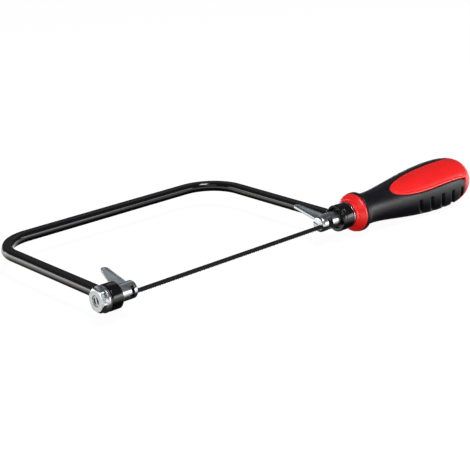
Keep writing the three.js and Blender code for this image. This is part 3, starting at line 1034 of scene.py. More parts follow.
@dataclass
class Blade:
    """Toothed strip and its two cross pins."""

    fit: BladeFit
    pitch: float = 1.7
    depth: float = 0.75
    tooth_set: float = 0.07
    tooth_share: float = 0.92
    gullet_share: float = 0.6
    edge_below: float = 0.4
    teeth_below: float = 0.2
    plain: float = 7.0
    end_round: float = 0.5
    rounding: float = 0.06

    def strip(self) -> bpy.types.Object:
        """Makes the strip with its teeth.

        Returns:
            The strip.
        """
        start, end = span_x("blade")
        back = self.fit.back
        gullet = back - self.fit.height + self.depth * self.gullet_share
        edge = gullet - self.edge_below
        corners = [(start, back), (end, back), (end, edge), (start, edge)]
        outline = fillet(corners, self.end_round, closed=True)
        half = self.fit.thickness / 2
        strip = soften(slab("blade", outline, -half, half), self.rounding)
        count = int((end - start - 2 * self.plain) / self.pitch)
        first = (start + end - (count - 1) * self.pitch) / 2
        return grow(strip, teeth_tree(), {
            "Count": count, "Pitch": self.pitch, "Start": first, "Edge": gullet - self.teeth_below,
            "Depth": self.depth, "Thickness": self.fit.thickness * self.tooth_share,
            "Set": self.tooth_set,
        })

    def pin(self, node: str) -> bpy.types.Object:
        """Makes a cross pin with domed ends.

        Args:
            node: The pin's name.

        Returns:
            The pin.
        """
        half, radius = self.fit.pin_length / 2, self.fit.pin_radius
        corners = [(-half, 0), (-half, radius), (half, radius), (half, 0)]
        pin = turned(node, fillet(corners, self.fit.pin_dome), 32)
        pin.data.transform(Matrix.Rotation(math.radians(90), 4, "Y"))
        pin.data.transform(Matrix.Translation((self.fit.pin_x(node), -self.fit.offset, 0)))
        return pin

    def build(self, steel: bpy.types.Material) -> None:
        """Makes and dresses the blade and its pins.

        Args:
            steel: The blade's steel.
        """
        Piece(self.strip(), "blade_holder", "blade_steel", steel, ("blade",), Turn.BLADE, 20).settle()
        for node in ("front_blade_pin", "rear_blade_pin"):
            Piece(self.pin(node), "blade_holder", "blade_steel", steel, (node,), Turn.BLADE).settle()


@dataclass
class Spigot:
    """Turned spigot with a slot for the blade, a notch for its pin and a threaded shank."""

    fit: BladeFit
    node: str
    pin_node: str
    body: str
    nose_right: bool
    radius: float = 5.5
    shank: float = 4.0
    nose_round: float = 2.0
    travel: float = 0.0
    play: float = 0.1
    break_edge: float = 0.2
    nose_bulge: float = 1.08
    nose_steps: int = 10
    ring_back: float = 1.4
    ring_width: float = 0.5
    notch_gap: float = 0.12
    rounding: float = 0.14
    pitch: float = 1.25
    thread_depth: float = 0.42
    thread_length: float = 10.0
    chamfer_length: float = 0.9
    lead: float = 1.2
    sight_depth: float = 1.5
    sight_half: float = 0.5
    pocket_depth: float = 2.4
    pocket_radii: tuple[float, float] = (2.6, 2.4)
    bar_half: float = 0.75
    bar_lean: float = -28.5

    @property
    def away(self) -> int:
        """Sign of X from the shank towards the nose."""
        return 1 if self.nose_right else -1

    def shank_end(self) -> Profile:
        """Outline of the shank's chamfered end, from the axis outwards.

        Returns:
            The outline's points.
        """
        start, end = span_x(self.node)
        side = self.shank - self.play
        if self.nose_right:
            return [(start, 0), (start, self.shank - 0.9),
                    (start + self.chamfer_length, self.shank - 0.8), (start + self.lead, side)]
        return [(end, 0), (end, self.shank - 1.1), (end - self.lead, side)]

    def blank(self, shoulder: float) -> bpy.types.Object:
        """Turns the spigot's blank, with a domed nose and a smooth shank.

        Args:
            shoulder: X where the head meets the shank.

        Returns:
            The blank.
        """
        sign = self.away
        nose = span_x(self.node)[1 if self.nose_right else 0] - self.nose_round * sign
        corners = self.shank_end()
        corners += [(shoulder, self.shank - self.play), (shoulder, self.radius - self.break_edge),
                    (shoulder + self.break_edge * sign, self.radius)]
        ring = nose - self.ring_back * sign
        corners += [(ring - self.ring_width * sign, self.radius), (ring, self.radius)]
        for k in range(self.nose_steps + 1):
            angle = math.radians(90.0 * (1 - k / self.nose_steps))
            corners.append((nose + sign * self.nose_round * math.cos(angle),
                            self.radius - self.nose_round * (1 - math.sin(angle))))
        corners.append((nose + sign * self.nose_round * self.nose_bulge, 0))
        return turned(self.node, corners)

    def build(self, zinc: bpy.types.Material, shoulder: float) -> None:
        """Cuts the slot and notch, adds the thread and dresses the spigot.

        Args:
            zinc: The spigot's material.
            shoulder: X where the head meets the shank.
        """
        spigot = self.blank(shoulder)
        pin = self.fit.pin_x(self.pin_node)
        nose = span_x(self.node)[1 if self.nose_right else 0]
        wide = 3 * self.radius
        half = self.fit.thickness / 2 + self.fit.slot_gap
        reach = self.fit.tail + self.fit.slot_gap + self.travel
        slot = sorted((pin - reach * self.away, nose + self.away))
        cut(spigot, block("slot_tool", slot, (-wide, self.fit.back + self.fit.slot_gap), (-half, half)))
        notch = self.fit.pin_radius + self.notch_gap
        seat = (pin - notch, pin + notch + self.travel)
        cut(spigot, block("notch_tool", seat, (-wide, notch - self.fit.offset), (-wide, wide)))
        sight = sorted((nose - self.sight_depth * self.away, nose + self.away))
        cut(spigot, block("sight_tool", sight, (0, wide), (-self.sight_half, self.sight_half)))
        if self.nose_right:
            self.key_pockets(spigot)
        soften(spigot, self.rounding, 2, 40)
        whole = join(self.node, [spigot, self.thread()])
        Piece(whole, self.body, "zinc_plate", zinc, (self.node,), Turn.BLADE, 42).settle()

    def key_pockets(self, spigot: bpy.types.Object) -> None:
        """Sinks two half-round pockets in the shank's end, with a bar between them.

        Args:
            spigot: The spigot to cut.
        """
        start = span_x(self.node)[0]
        floor = start + self.pocket_depth
        mouth, foot = self.pocket_radii
        wide = 2 * self.radius
        for side in (1, -1):
            outline = [(start - 1, 0), (start - 1, mouth), (floor, foot), (floor, 0)]
            pocket = turned("pocket_tool", outline, 48)
            half = sorted((self.bar_half * side, wide * side))
            keep = block("bar_tool", (start - 2, start + wide), half, (-wide, wide))
            cut(pocket, keep, Cut.KEEP)
            pocket.data.transform(Matrix.Rotation(math.radians(self.bar_lean), 4, "X"))
            cut(spigot, pocket)

    def thread(self) -> bpy.types.Object:
        """Winds the thread on the free end of the shank.

        Returns:
            The thread, a closed shell of its own.
        """
        seed = mesh_object("thread_seed", [(0, 0, 0)], ())
        coil = grow(seed, thread_tree(), {
            "Turns": self.thread_length / self.pitch, "Pitch": self.pitch,
            "Root Radius": self.shank - self.thread_depth, "Depth": self.thread_depth,
        })
        coil.data.transform(Matrix.Rotation(math.radians(90), 4, "Y"))
        start, end = span_x(self.node)
        last = end - self.lead - self.thread_length
        where = start + self.chamfer_length if self.nose_right else last
        coil.data.transform(Matrix.Translation((where, 0, 0)))
        return coil


@dataclass
class Lever:
    """Stamped positioning lever with a raised rim and a foot that clasps its spigot."""

    node: str
    body: str
    towards: int
    thickness: float = 1.6
    root_width: float = 11.0
    reach: float = 27.6
    tip_radius: float = 2.6
    lean: float = 2.4
    spigot_radius: float = 5.5
    let_in: float = 1.2
    rim: float = 1.15
    press_depth: float = 0.22
    press_room: float = 1.0
    rounding: float = 0.22
    foot_steps: int = 40
    foot_inset: float = 0.3
    foot_rise: float = 0.15
    foot_gap: float = 0.1

    def outline(self, inset: float = 0.0) -> Profile:
        """Outline in the lever's plane, from its near edge, shrunk by an inset.

        Args:
            inset: Distance to shrink by, in millimetres.

        Returns:
            The outline's points.
        """
        root = self.spigot_radius - self.let_in + inset
        tip_x = self.root_width - self.lean
        tip_y = self.reach - self.tip_radius
        radius = self.tip_radius - inset
        waist = root + (self.reach - root) / 3
        points = [(inset * 1.1, root), (self.root_width - inset, root)]
        far = Vector((self.root_width - inset, root))
        handle = Vector((self.root_width - inset, waist))
        shoulder = Vector((tip_x + radius, tip_y))
        for k in range(1, 10):
            t = k / 9
            point = far * (1 - t) ** 2 + handle * 2 * t * (1 - t) + shoulder * t**2
            points.append((point.x, point.y))
        for k in range(1, 17):
            angle = math.pi * k / 16
            points.append((tip_x + radius * math.cos(angle), tip_y + radius * math.sin(angle)))
        return points

    def build(self, zinc: bpy.types.Material) -> None:
        """Stamps the lever, presses its face and dresses it.

        Args:
            zinc: The lever's plating.
        """
        half = self.thickness / 2
        plate = slab(self.node, self.outline(), -half, half)
        for level in (half - self.press_depth, -half - self.press_room):
            top = level + self.press_room + self.press_depth
            cut(plate, slab("press_tool", self.outline(self.rim), level, top))
        soften(plate, self.rounding, 3, 30)
        near = span_x(self.node)[0 if self.towards > 0 else 1]
        if self.towards < 0:
            plate.data.transform(Matrix.Rotation(math.pi, 4, "Y"))
        plate.data.transform(Matrix.Translation((near, 0, 0)))
        whole = join(self.node, [plate, self.foot(near)])
        Piece(whole, self.body, "zinc_plate", zinc, (self.node,), Turn.BLADE, 40).settle()

    def foot(self, near: float) -> bpy.types.Object:
        """Makes the two braze beads between the lever and its spigot.

        Args:
            near: X of the lever's near edge.

        Returns:
            The beads, as one object.
        """
        steps = self.foot_steps
        first = near + self.towards * self.foot_inset
        last = near + self.towards * (self.root_width - self.foot_inset)
        y = math.sqrt(self.spigot_radius**2 - 1.0) + self.foot_rise
        z = self.thickness / 2 + self.foot_gap
        points = [(first + (last - first) * k / steps, y, side * z)
                  for side in (1, -1) for k in range(steps + 1)]
        edges = [(row + k, row + k + 1) for row in (0, steps + 1) for k in range(steps)]
        path = mesh_object("lever_foot", points, (), edges)
        return cap_ends(grow(path, bead_tree(), {
            "Bead Radius": 0.5, "Ripple": 0.05, "Ripple Pitch": 1.3, "Sides": 10,
        }))


def cap_ends(obj: bpy.types.Object) -> bpy.types.Object:
    """Closes the open ends of a swept tube.

    Args:
        obj: The tube's object.

    Returns:
        The same object.
    """
    work = bmesh.new()
    work.from_mesh(obj.data)
    bmesh.ops.remove_doubles(work, verts=work.verts, dist=SLIVER)
    rims = [e for e in work.edges if len(e.link_faces) == 1]
    bmesh.ops.holes_fill(work, edges=rims, sides=0)
    bmesh.ops.recalc_face_normals(work, faces=work.faces)
    work.to_mesh(obj.data)
    work.free()
    return obj


@dataclass
class NoseHardware:
    """Flanged nut and washer on the front spigot."""

    across_flats: float = 13.0
    turn: float = 53.0
    flange_thickness: float = 1.4
    flange_slope: float = 1.1
    chamfer: tuple[float, float] = (0.55, 1.15)
    mouth: float = 3.4
    mouth_depth: float = 0.8
    bore: float = 8.2
    rounding: float = 0.18
    washer_rounding: float = 0.22

    def nut(self) -> bpy.types.Object:
        """Makes the hexagon nut with its flange and chamfered bore.

        Returns:
            The nut.
        """
        end, face = span_x("front_nut")
        corner = self.across_flats / math.sqrt(3)
        flange = radius_of("front_nut")
        hexagon = turned("front_nut", [(end, 0), (end, corner), (face, corner), (face, 0)], 6)
        hexagon.data.transform(Matrix.Rotation(math.radians(self.turn), 4, "X"))
        along, inward = self.chamfer
        clear = corner + 0.02
        cone = turned("chamfer_tool", [
            (end, 0), (end, corner - inward), (end + along, clear), (face, clear), (face, 0)])
        cut(hexagon, cone, Cut.KEEP)
        back = face - self.flange_thickness
        slope = back - self.flange_slope
        skirt = turned("skirt_tool", fillet([
            (slope, 0), (slope, corner - 0.9), (back - 0.1, flange - 0.35),
            (back + 0.5, flange), (face, flange), (face, 0)], 0.25))
        cut(hexagon, skirt, Cut.ADD)
        bore = self.bore / 2
        hole = turned("bore_tool", [
            (end - 1, 0), (end - 1, self.mouth + 0.8), (end + 0.2, self.mouth),
            (end + self.mouth_depth, self.mouth), (end + self.mouth_depth + 0.2, bore),
            (face + 1, bore), (face + 1, 0)])
        cut(hexagon, hole)
        return soften(hexagon, self.rounding, 3, 24)

    def ring(self, node: str) -> bpy.types.Object:
        """Makes a washer with rounded edges from the CAD node's own size.

        Args:
            node: The washer's name.

        Returns:
            The washer.
        """
        start, end = span_x(node)
        inner, outer = self.bore / 2, radius_of(node)
        corners = [(start, inner), (start, outer), (end, outer), (end, inner)]
        return turned(node, fillet(corners, self.washer_rounding, closed=True), closed=True)

    def build(self, zinc: bpy.types.Material, oxide_rim_highlight: bpy.types.Material) -> None:
        """Makes and dresses the nut and both washers.

        Args:
            zinc: The nut's plating.
            oxide_rim_highlight: The washers' dark finish, whose pale rims are partly a painted highlight.
        """
        Piece(self.nut(), "blade_holder", "zinc_plate", zinc, ("front_nut",), Turn.BLADE, 30).settle()
        for node, body in (("front_washer", "blade_holder"), ("friction_washer", "tension_washer")):
            # The washers' dark finish paints a highlight on their rims, partly as abrasion.
            Piece(self.ring(node), body, "blued_steel", oxide_rim_highlight, (node,), Turn.BLADE).settle()


# ---------------------------------------------------------------- handle


def bezier(controls: Sequence[tuple[float, float]], steps: int) -> Profile:
    """Walks along a cubic curve.

    Args:
        controls: Its four control points. It passes through the first and the last.
        steps: Chords along it.

    Returns:
        The points on the curve.
    """
    a, b, c, d = (Vector(p) for p in controls)
    out = []
    for k in range(steps + 1):
        t = k / steps
        point = a * (1 - t) ** 3 + b * 3 * t * (1 - t) ** 2 + c * 3 * t**2 * (1 - t) + d * t**3
        out.append((point.x, point.y))
    return out


def spread(width: float, close: Sequence[float], columns: int) -> list[float]:
    """Spaces columns across a strip: close together at both edges, and even between.

    Args:
        width: The strip's width.
        close: Distances from an edge of the columns beside it.
        columns: Number of even columns, with the last close one at each end counted in.

    Returns:
        Distances from the first edge.
    """
    even = np.linspace(close[-1], width - close[-1], columns).tolist()[1:-1]
    return [*close, *even, *(width - d for d in reversed(close))]


@dataclass
class Handle:
    """Red hard core with two panels, collar, soft grip, and the insert inside."""

    length: float = 121.0
    collar_length: float = 7.2
    collar_radius: float = 12.9
    collar_step: float = 10.2
    collar_front: float = 9.3
    lip_radius: float = 13.4
    lip_length: float = 2.4
    neck_radius: float = 10.9
    neck_at: float = 20.5
    belly_radius: float = 17.6
    belly_at: float = 90.5
    grip_end: float = 107.0
    grip_wall: float = 2.1
    panel_start: float = 36.0
    panel_nose: float = 38.0
    panel_half_width: float = 9.6
    gap: float = 0.3
    seam: float = 0.12
    edge_round: float = 0.6
    corner: float = 3.2
    thread_bore: float = 8.2
    insert_room: float = 15.0
    insert_room_radius: float = 6.3
    thread_room: float = 20.5
    thread_room_radius: float = 4.5
    rounding: float = 0.3
    lip_reach: float = 1.6
    neck_reach: float = 6.0
    flare_share: int = 5
    butt_reach: float = 0.72
    butt_fullness: float = 0.75
    ring_pitch: float = 0.55
    grip_columns: int = 56
    panel_columns: int = 20
    side_columns: int = 40
    line_inset: float = 1.75
    line_half_width: float = 0.3
    line_depth: float = 0.42
    line_stop: float = 2.0
    line_fade: float = 6.0
    line_room: float = 4.0
    tip_room: float = 2.5
    corner_reach: float = 12.0
    corner_power: int = 10
    groove_first: float = 58.9
    groove_pitch: float = 10.8
    groove_count: int = 5
    groove_width: float = 3.2
    groove_depth: float = 1.5
    groove_curl: float = 10.0
    groove_reach: float = 0.62
    groove_fade: float = 0.12
    waist: tuple[float, float] = (4.0, 6.4)
    waist_slope: float = 0.4
    waist_depth: float = 0.6
    butt_round: float = 0.35
    widest: float = 0.98
    front: float = field(init=False)
    curve: Profile = field(init=False)

    def __post_init__(self) -> None:
        """Works out the outline from the front of the grip to the butt."""
        self.front = high("handle_core").x - ORIGIN.x - self.length
        start = self.collar_length + self.gap
        back = start + self.lip_length
        flare = (self.belly_at - self.neck_at) / self.flare_share
        tail = self.length - self.belly_at
        neck = (self.neck_at, self.neck_radius)
        belly = (self.belly_at, self.belly_radius)
        self.curve = bezier([
            (back, self.lip_radius), (back + self.lip_reach, self.neck_radius),
            (self.neck_at - self.neck_reach, self.neck_radius), neck,
        ], 60)
        self.curve += bezier([
            neck, (self.neck_at + flare, self.neck_radius),
            (self.belly_at - 2 * flare, self.belly_radius), belly,
        ], 80)[1:]
        self.curve += bezier([
            belly, (self.belly_at + self.butt_reach * tail, self.belly_radius),
            (self.length, self.butt_fullness * self.belly_radius), (self.length, 0),
        ], 120)[1:]

    def radius(self, along: float) -> float:
        """Outer radius at a distance from the front of the collar."""
        return float(np.interp(along, [x for x, _ in self.curve], [r for _, r in self.curve]))

    def half_width(self, along: float) -> float:
        """Half the hard panel's width.

        Args:
            along: Distance from the front of the collar.

        Returns:
            The half width, zero ahead of the panel's tip.
        """
        into = along - self.panel_start
        if into <= 0:
            return 0.0
        if into >= self.panel_nose:
            return self.panel_half_width
        return self.panel_half_width * math.sqrt(1 - (1 - into / self.panel_nose) ** 2)

    def stations(self, first: float, last: float) -> list[float]:
        """Places the rings: evenly, with close ones round the panel's nose and at the end.

        Args:
            first: Distance of the first ring from the front of the collar.
            last: Distance of the last one.

        Returns:
            The rings' distances.
        """
        even = np.arange(first, last, self.ring_pitch).tolist()
        turns = [math.pi / 2 * k / 24 for k in range(9)]
        nose = [self.panel_start + self.panel_nose * (1 - math.cos(turn)) for turn in turns]
        rounding = [last - d for d in (1.2, 0.6, 0.35, 0.15, 0.05)]
        ahead = [x for x in even + nose + rounding if first < x < last]
        return [first] + sorted(set(round(x, 4) for x in ahead)) + [last]

    def edge_drop(self, distance: float) -> float:
        """Works out how far a rounded edge falls away.

        Args:
            distance: Distance from the edge.

        Returns:
            The drop there.
        """
        if distance >= self.edge_round:
            return 0.0
        rest = self.edge_round - distance
        return self.edge_round - math.sqrt(max(0.0, self.edge_round**2 - rest**2))

    def side_angles(self, along: float, columns: int, margin: float) -> list[tuple[float, float]]:
        """Angles across one side panel of the grip.

        Args:
            along: Distance from the front of the collar.
            columns: Number of even columns between the close ones.
            margin: Gap between the hard panel and the soft one, in millimetres.

        Returns:
            Angle from the top panel's middle, and distance to the nearest edge, per column.
        """
        radius = self.radius(along)
        half = self.half_width(along)
        inner = math.asin(min(self.widest, (half + margin if half > 0 else 0.0) / radius))
        width = (math.pi - 2 * inner) * radius
        distances = spread(width, (0.0, 0.08, 0.22, 0.42, 0.7, 1.1), columns)
        return [(inner + d / radius, min(d, width - d)) for d in distances]

    def point(self, along: float, angle: float, radius: float) -> Point:
        """Point on the handle, with the angle measured from the top panel's middle."""
        return (self.front + along, -radius * math.sin(angle), radius * math.cos(angle))

    def grip(self) -> bpy.types.Object:
        """Builds the soft overmould: lip, neck and two side panels, then its grooves.

        Returns:
            The grip.
        """
        start = self.collar_length + self.gap
        body = self.stations(start + self.lip_length, self.grip_end)
        lip = [(start, self.lip_radius - 0.5), (start + 0.15, self.lip_radius - 0.18),
               (start + 0.5, self.lip_radius), (start + self.lip_length - 0.6, self.lip_radius)]
        rings = lip + [(x, self.radius(x)) for x in body]
        points, along_of, around_of, outer_of = [], [], [], []
        index: dict[tuple[int, int, int, int], int] = {}
        middle = math.pi / 2
        for side in (0, 1):
            for i, (x, r) in enumerate(rings):
                layout = self.side_angles(max(x, body[0]), self.grip_columns, self.seam)
                fade = min(1.0, self.half_width(x) / self.tip_room)
                late = max(0.0, (x - self.grip_end + self.corner_reach) / self.corner_reach)
                for j, (angle, edge) in enumerate(layout):
                    drop = self.edge_drop(edge) * fade + self.edge_drop(self.grip_end - x)
                    share = abs(angle - middle) / (middle - layout[0][0] + ON_AXIS)
                    pull = self.corner * share**self.corner_power * late**2
                    for layer in (0, 1):
                        radius = r - drop if layer == 0 else self.inner_radius(x, r)
                        true = angle if side == 0 else 2 * math.pi - angle
                        index[side, layer, i, j] = len(points)
                        points.append(self.point(x - pull, true, radius))
                        along_of.append(x)
                        around_of.append(middle - angle)
                        outer_of.append(1.0 - layer)
        faces = []

        def face(side: int, *corners: tuple[int, int, int]) -> None:
            """Adds a face from its corners, each given as layer, ring and column."""
            faces.append(tuple(index[(side, *corner)] for corner in corners))

        last_j = len(self.side_angles(body[0], self.grip_columns, self.seam)) - 1
        last_i = len(rings) - 1
        for side in (0, 1):
            for i in range(last_i):
                n = i + 1
                for layer in (0, 1):
                    for j in range(last_j):
                        face(side, (layer, i, j), (layer, n, j), (layer, n, j + 1), (layer, i, j + 1))
                if self.half_width(rings[n][0]) > 0:
                    for j in (0, last_j):
                        face(side, (0, i, j), (0, n, j), (1, n, j), (1, i, j))
            for j in range(last_j):
                for i in (0, last_i):
                    face(side, (0, i, j), (0, i, j + 1), (1, i, j + 1), (1, i, j))
        skin = self.attributed("grip_sleeve", points, faces, along_of, around_of, outer_of)
        return grow(skin, groove_tree(), {
            "First": self.groove_first, "Pitch": self.groove_pitch, "Count": self.groove_count,
            "Width": self.groove_width, "Depth": self.groove_depth, "Curl": self.groove_curl,
            "Reach": self.groove_reach, "Fade": self.groove_fade,
        })

    def inner_radius(self, along: float, radius: float) -> float:
        """Radius of the grip's inner wall."""
        return (self.neck_radius if along < self.neck_at else radius) - self.grip_wall

    @staticmethod
    def attributed(
        name: str, points: list[Point], faces: list[tuple[int, ...]],
        along: list[float], around: list[float], outer: list[float],
    ) -> bpy.types.Object:
        """Makes a closed mesh that carries its own coordinates.

        Args:
            name: Name of the object.
            points: Vertex positions.
            faces: Vertex indices of each face.
            along: Each vertex's distance along the handle.
            around: Its angle from the middle of its side.
            outer: One on the outer skin, zero on the inner wall.

        Returns:
            The object.
        """
        mesh = bpy.data.meshes.new(name)
        mesh.from_pydata(points, [], faces)
        for label, values in (("along", along), ("around", around), ("outer", outer)):
            mesh.attributes.new(label, "FLOAT", "POINT").data.foreach_set("value", values)
        clean(mesh)
        return object_from(name, mesh)

    def panel_angles(self, along: float, columns: int) -> list[tuple[float, float]]:
        """Angles across the top hard panel.

        Args:
            along: Distance from the front of the collar.
            columns: Number of even columns between the close ones.

        Returns:
            Angle from the panel's middle, and distance to its nearest edge, per column.
        """
        radius = self.radius(along)
        half = self.half_width(along)
        inner = math.asin(min(self.widest, half / radius))
        width = 2 * inner * radius
        squeeze = min(1.0, half / 4.0)
        close = [d * squeeze for d in (0.0, 0.1, 0.3, 0.6, 1.3, 1.55, 1.75, 1.95, 2.2)]
        return [(-inner + d / radius, min(d, width - d)) for d in spread(width, close, columns)]

    def core(self) -> bpy.types.Object:
        """Builds the hard core: bore, stem, let-in sides, raised panels and butt.

        Returns:
            The core.
        """
        let_in = self.grip_wall + self.gap
        stem = self.neck_radius - self.grip_wall - self.gap
        body = self.stations(self.neck_at, self.grip_end + self.seam)
        butt = [x for x, _ in self.curve if x > self.grip_end + 0.8]

        def row(x: float, side_depth: float) -> list[Point]:
            """Makes one ring of points: top panel, side, bottom panel, side.

            Args:
                x: Distance from the front of the collar.
                side_depth: How far the sides lie below the outline.

            Returns:
                The ring's points.
            """
            radius = self.radius(x)
            raised = self.half_width(x) > 0
            ring = []
            for turn in (0.0, math.pi):
                for angle, edge in self.panel_angles(x, self.panel_columns):
                    drop = self.edge_drop(edge) if x < self.grip_end else 0.0
                    depth = drop + self.line_drop(x, edge) if raised else let_in
                    ring.append(self.point(x, turn + angle, radius - depth))
                for angle, _ in self.side_angles(x, self.side_columns, 0.0):
                    ring.append(self.point(x, turn + angle, radius - side_depth))
            return ring

        front = [(self.thread_room, self.thread_room_radius), (self.insert_room, self.thread_room_radius),
                 (self.insert_room, self.insert_room_radius), (self.gap, self.insert_room_radius),
                 (self.gap, stem), (self.neck_at - 0.5, stem)]
        rows = [[self.point(x, angle, r) for angle in self.stem_angles()] for x, r in front]
        rows += [row(x, let_in) for x in body]
        rows += [row(body[-1], self.butt_round), row(body[-1] + self.butt_round, 0.0)]
        rows += [row(x, 0.0) for x in butt[:-1]]
        count = len(rows[-1])
        points = [p for ring in rows for p in ring]
        faces = []
        for i in range(len(rows) - 1):
            for j in range(count):
                n = (j + 1) % count
                faces.append((i * count + j, (i + 1) * count + j, (i + 1) * count + n, i * count + n))
        for i, centre in ((0, self.thread_room), (len(rows) - 1, self.length)):
            hub = len(points)
            points.append(self.point(centre, 0.0, 0.0))
            for j in range(count):
                faces.append((i * count + j, i * count + (j + 1) % count, hub))
        return mesh_object("handle_core", points, faces)

    def line_drop(self, along: float, edge: float) -> float:
        """Depth of the line that runs inside a hard panel's edge and fades towards the butt.

        Args:
            along: Distance from the front of the collar.
            edge: Distance from the panel's edge.

        Returns:
            The depth there.
        """
        if self.half_width(along) <= self.line_room:
            return 0.0
        fade = max(0.0, min(1.0, (self.grip_end - self.line_stop - along) / self.line_fade))
        off = (edge - self.line_inset) / self.line_half_width
        return self.line_depth * math.exp(-(off**2)) * fade

    def stem_angles(self) -> list[float]:
        """Angles of a ring on the stem, as many as on the rest of the core.

        Returns:
            The angles from the top panel's middle.
        """
        panel = self.panel_angles(self.neck_at, self.panel_columns)
        side = self.side_angles(self.neck_at, self.side_columns, 0.0)
        return [turn + angle for turn in (0.0, math.pi) for angle, _ in panel + side]

    def collar(self) -> bpy.types.Object:
        """Turns the collar with its stepped front.

        Returns:
            The collar.
        """
        bore = self.neck_radius - self.grip_wall
        x = self.front
        ring = 0.5 * (self.collar_front + self.collar_step)
        corners = [
            (x, bore), (x, ring - 0.5), (x + 0.5, ring), (x + 2.0, ring), (x + 2.2, ring - 0.35),
            (x + 2.5, ring - 0.3), (x + 2.7, self.collar_step), (x + 5.0, self.collar_radius - 0.45),
            (x + 5.7, self.collar_radius), (x + self.collar_length, self.collar_radius),
            (x + self.collar_length, bore),
        ]
        return turned("handle_collar", fillet(corners, self.rounding, closed=True), closed=True)

    def insert(self) -> bpy.types.Object:
        """Turns the waisted insert that the thread runs in.

        Returns:
            The insert.
        """
        start, end = span_x("draw_nut")
        outer = radius_of("draw_nut")
        bore = self.thread_bore / 2
        first, last = start + self.waist[0], start + self.waist[1]
        floor = outer - self.waist_depth
        corners = [(start, bore), (start, outer), (first, outer), (first + self.waist_slope, floor),
                   (last - self.waist_slope, floor), (last, outer), (end, outer - 0.4), (end, bore)]
        return turned("draw_nut", fillet(corners, 0.2, closed=True), 64, closed=True)

    def build(self, red: bpy.types.Material, soft: bpy.types.Material,
              brass: bpy.types.Material, zinc: bpy.types.Material) -> None:
        """Makes and dresses the handle's pieces.

        Args:
            red: Hard plastic of the core and the collar.
            soft: Soft plastic of the grip.
            brass: Metal of the insert.
            zinc: Plating of the thrust washer.
        """
        turn = Turn.HANDLE
        Piece(self.core(), "handle", "red_plastic", red, ("handle_core",), turn, 32).settle()
        Piece(self.collar(), "handle", "red_plastic", red, ("handle_collar",), turn).settle()
        Piece(self.grip(), "handle", "soft_grip", soft, ("grip_sleeve",), turn, 50).settle()
        Piece(self.insert(), "handle", "brass_insert", brass, ("draw_nut",), turn).settle()
        washer = NoseHardware().ring("thrust_washer")
        Piece(washer, "handle", "zinc_plate", zinc, ("thrust_washer",), turn).settle()


# ---------------------------------------------------------------- studio


@dataclass(frozen=True)
class Softbox:
    """One rectangular light that faces the saw.

    The azimuth is in degrees from the camera's side and the elevation in degrees above the
    floor. Distance and size are in metres, and the target is a point of the saw.
    """

    name: str
    azimuth: float
    elevation: float
    distance: float
    size: tuple[float, float]
    radiance: float
    color: Rgb = (1.0, 1.0, 1.0)
    target: Point = (94.5, 30.0, 0.0)


SOFTBOXES = (
    Softbox("left_wall", 97.5, 5, 2.2, (1.9, 0.6), 4.2, (1.0, 0.985, 0.95)),
    Softbox("right_wall", -82.5, 6, 2.2, (1.9, 0.6), 4.5),
    Softbox("front_fill", 8, 34, 2.2, (1.4, 0.6), 1.3),
    Softbox("key", -28, 62, 1.5, (0.5, 0.5), 19.0, (1.0, 0.985, 0.96)),
    Softbox("lever_light", 190, 37, 0.55, (0.24, 0.24), 0.45, (0.9, 0.96, 1.0), (0.0, 0.0, 0.0)),
)


def bearing(azimuth: float, elevation: float) -> Vector:
    """Unit vector at an azimuth from the Y axis and an elevation, both in degrees."""
    turn, tilt = math.radians(azimuth), math.radians(elevation)
    return Vector((math.sin(turn) * math.cos(tilt), math.cos(turn) * math.cos(tilt), math.sin(tilt)))


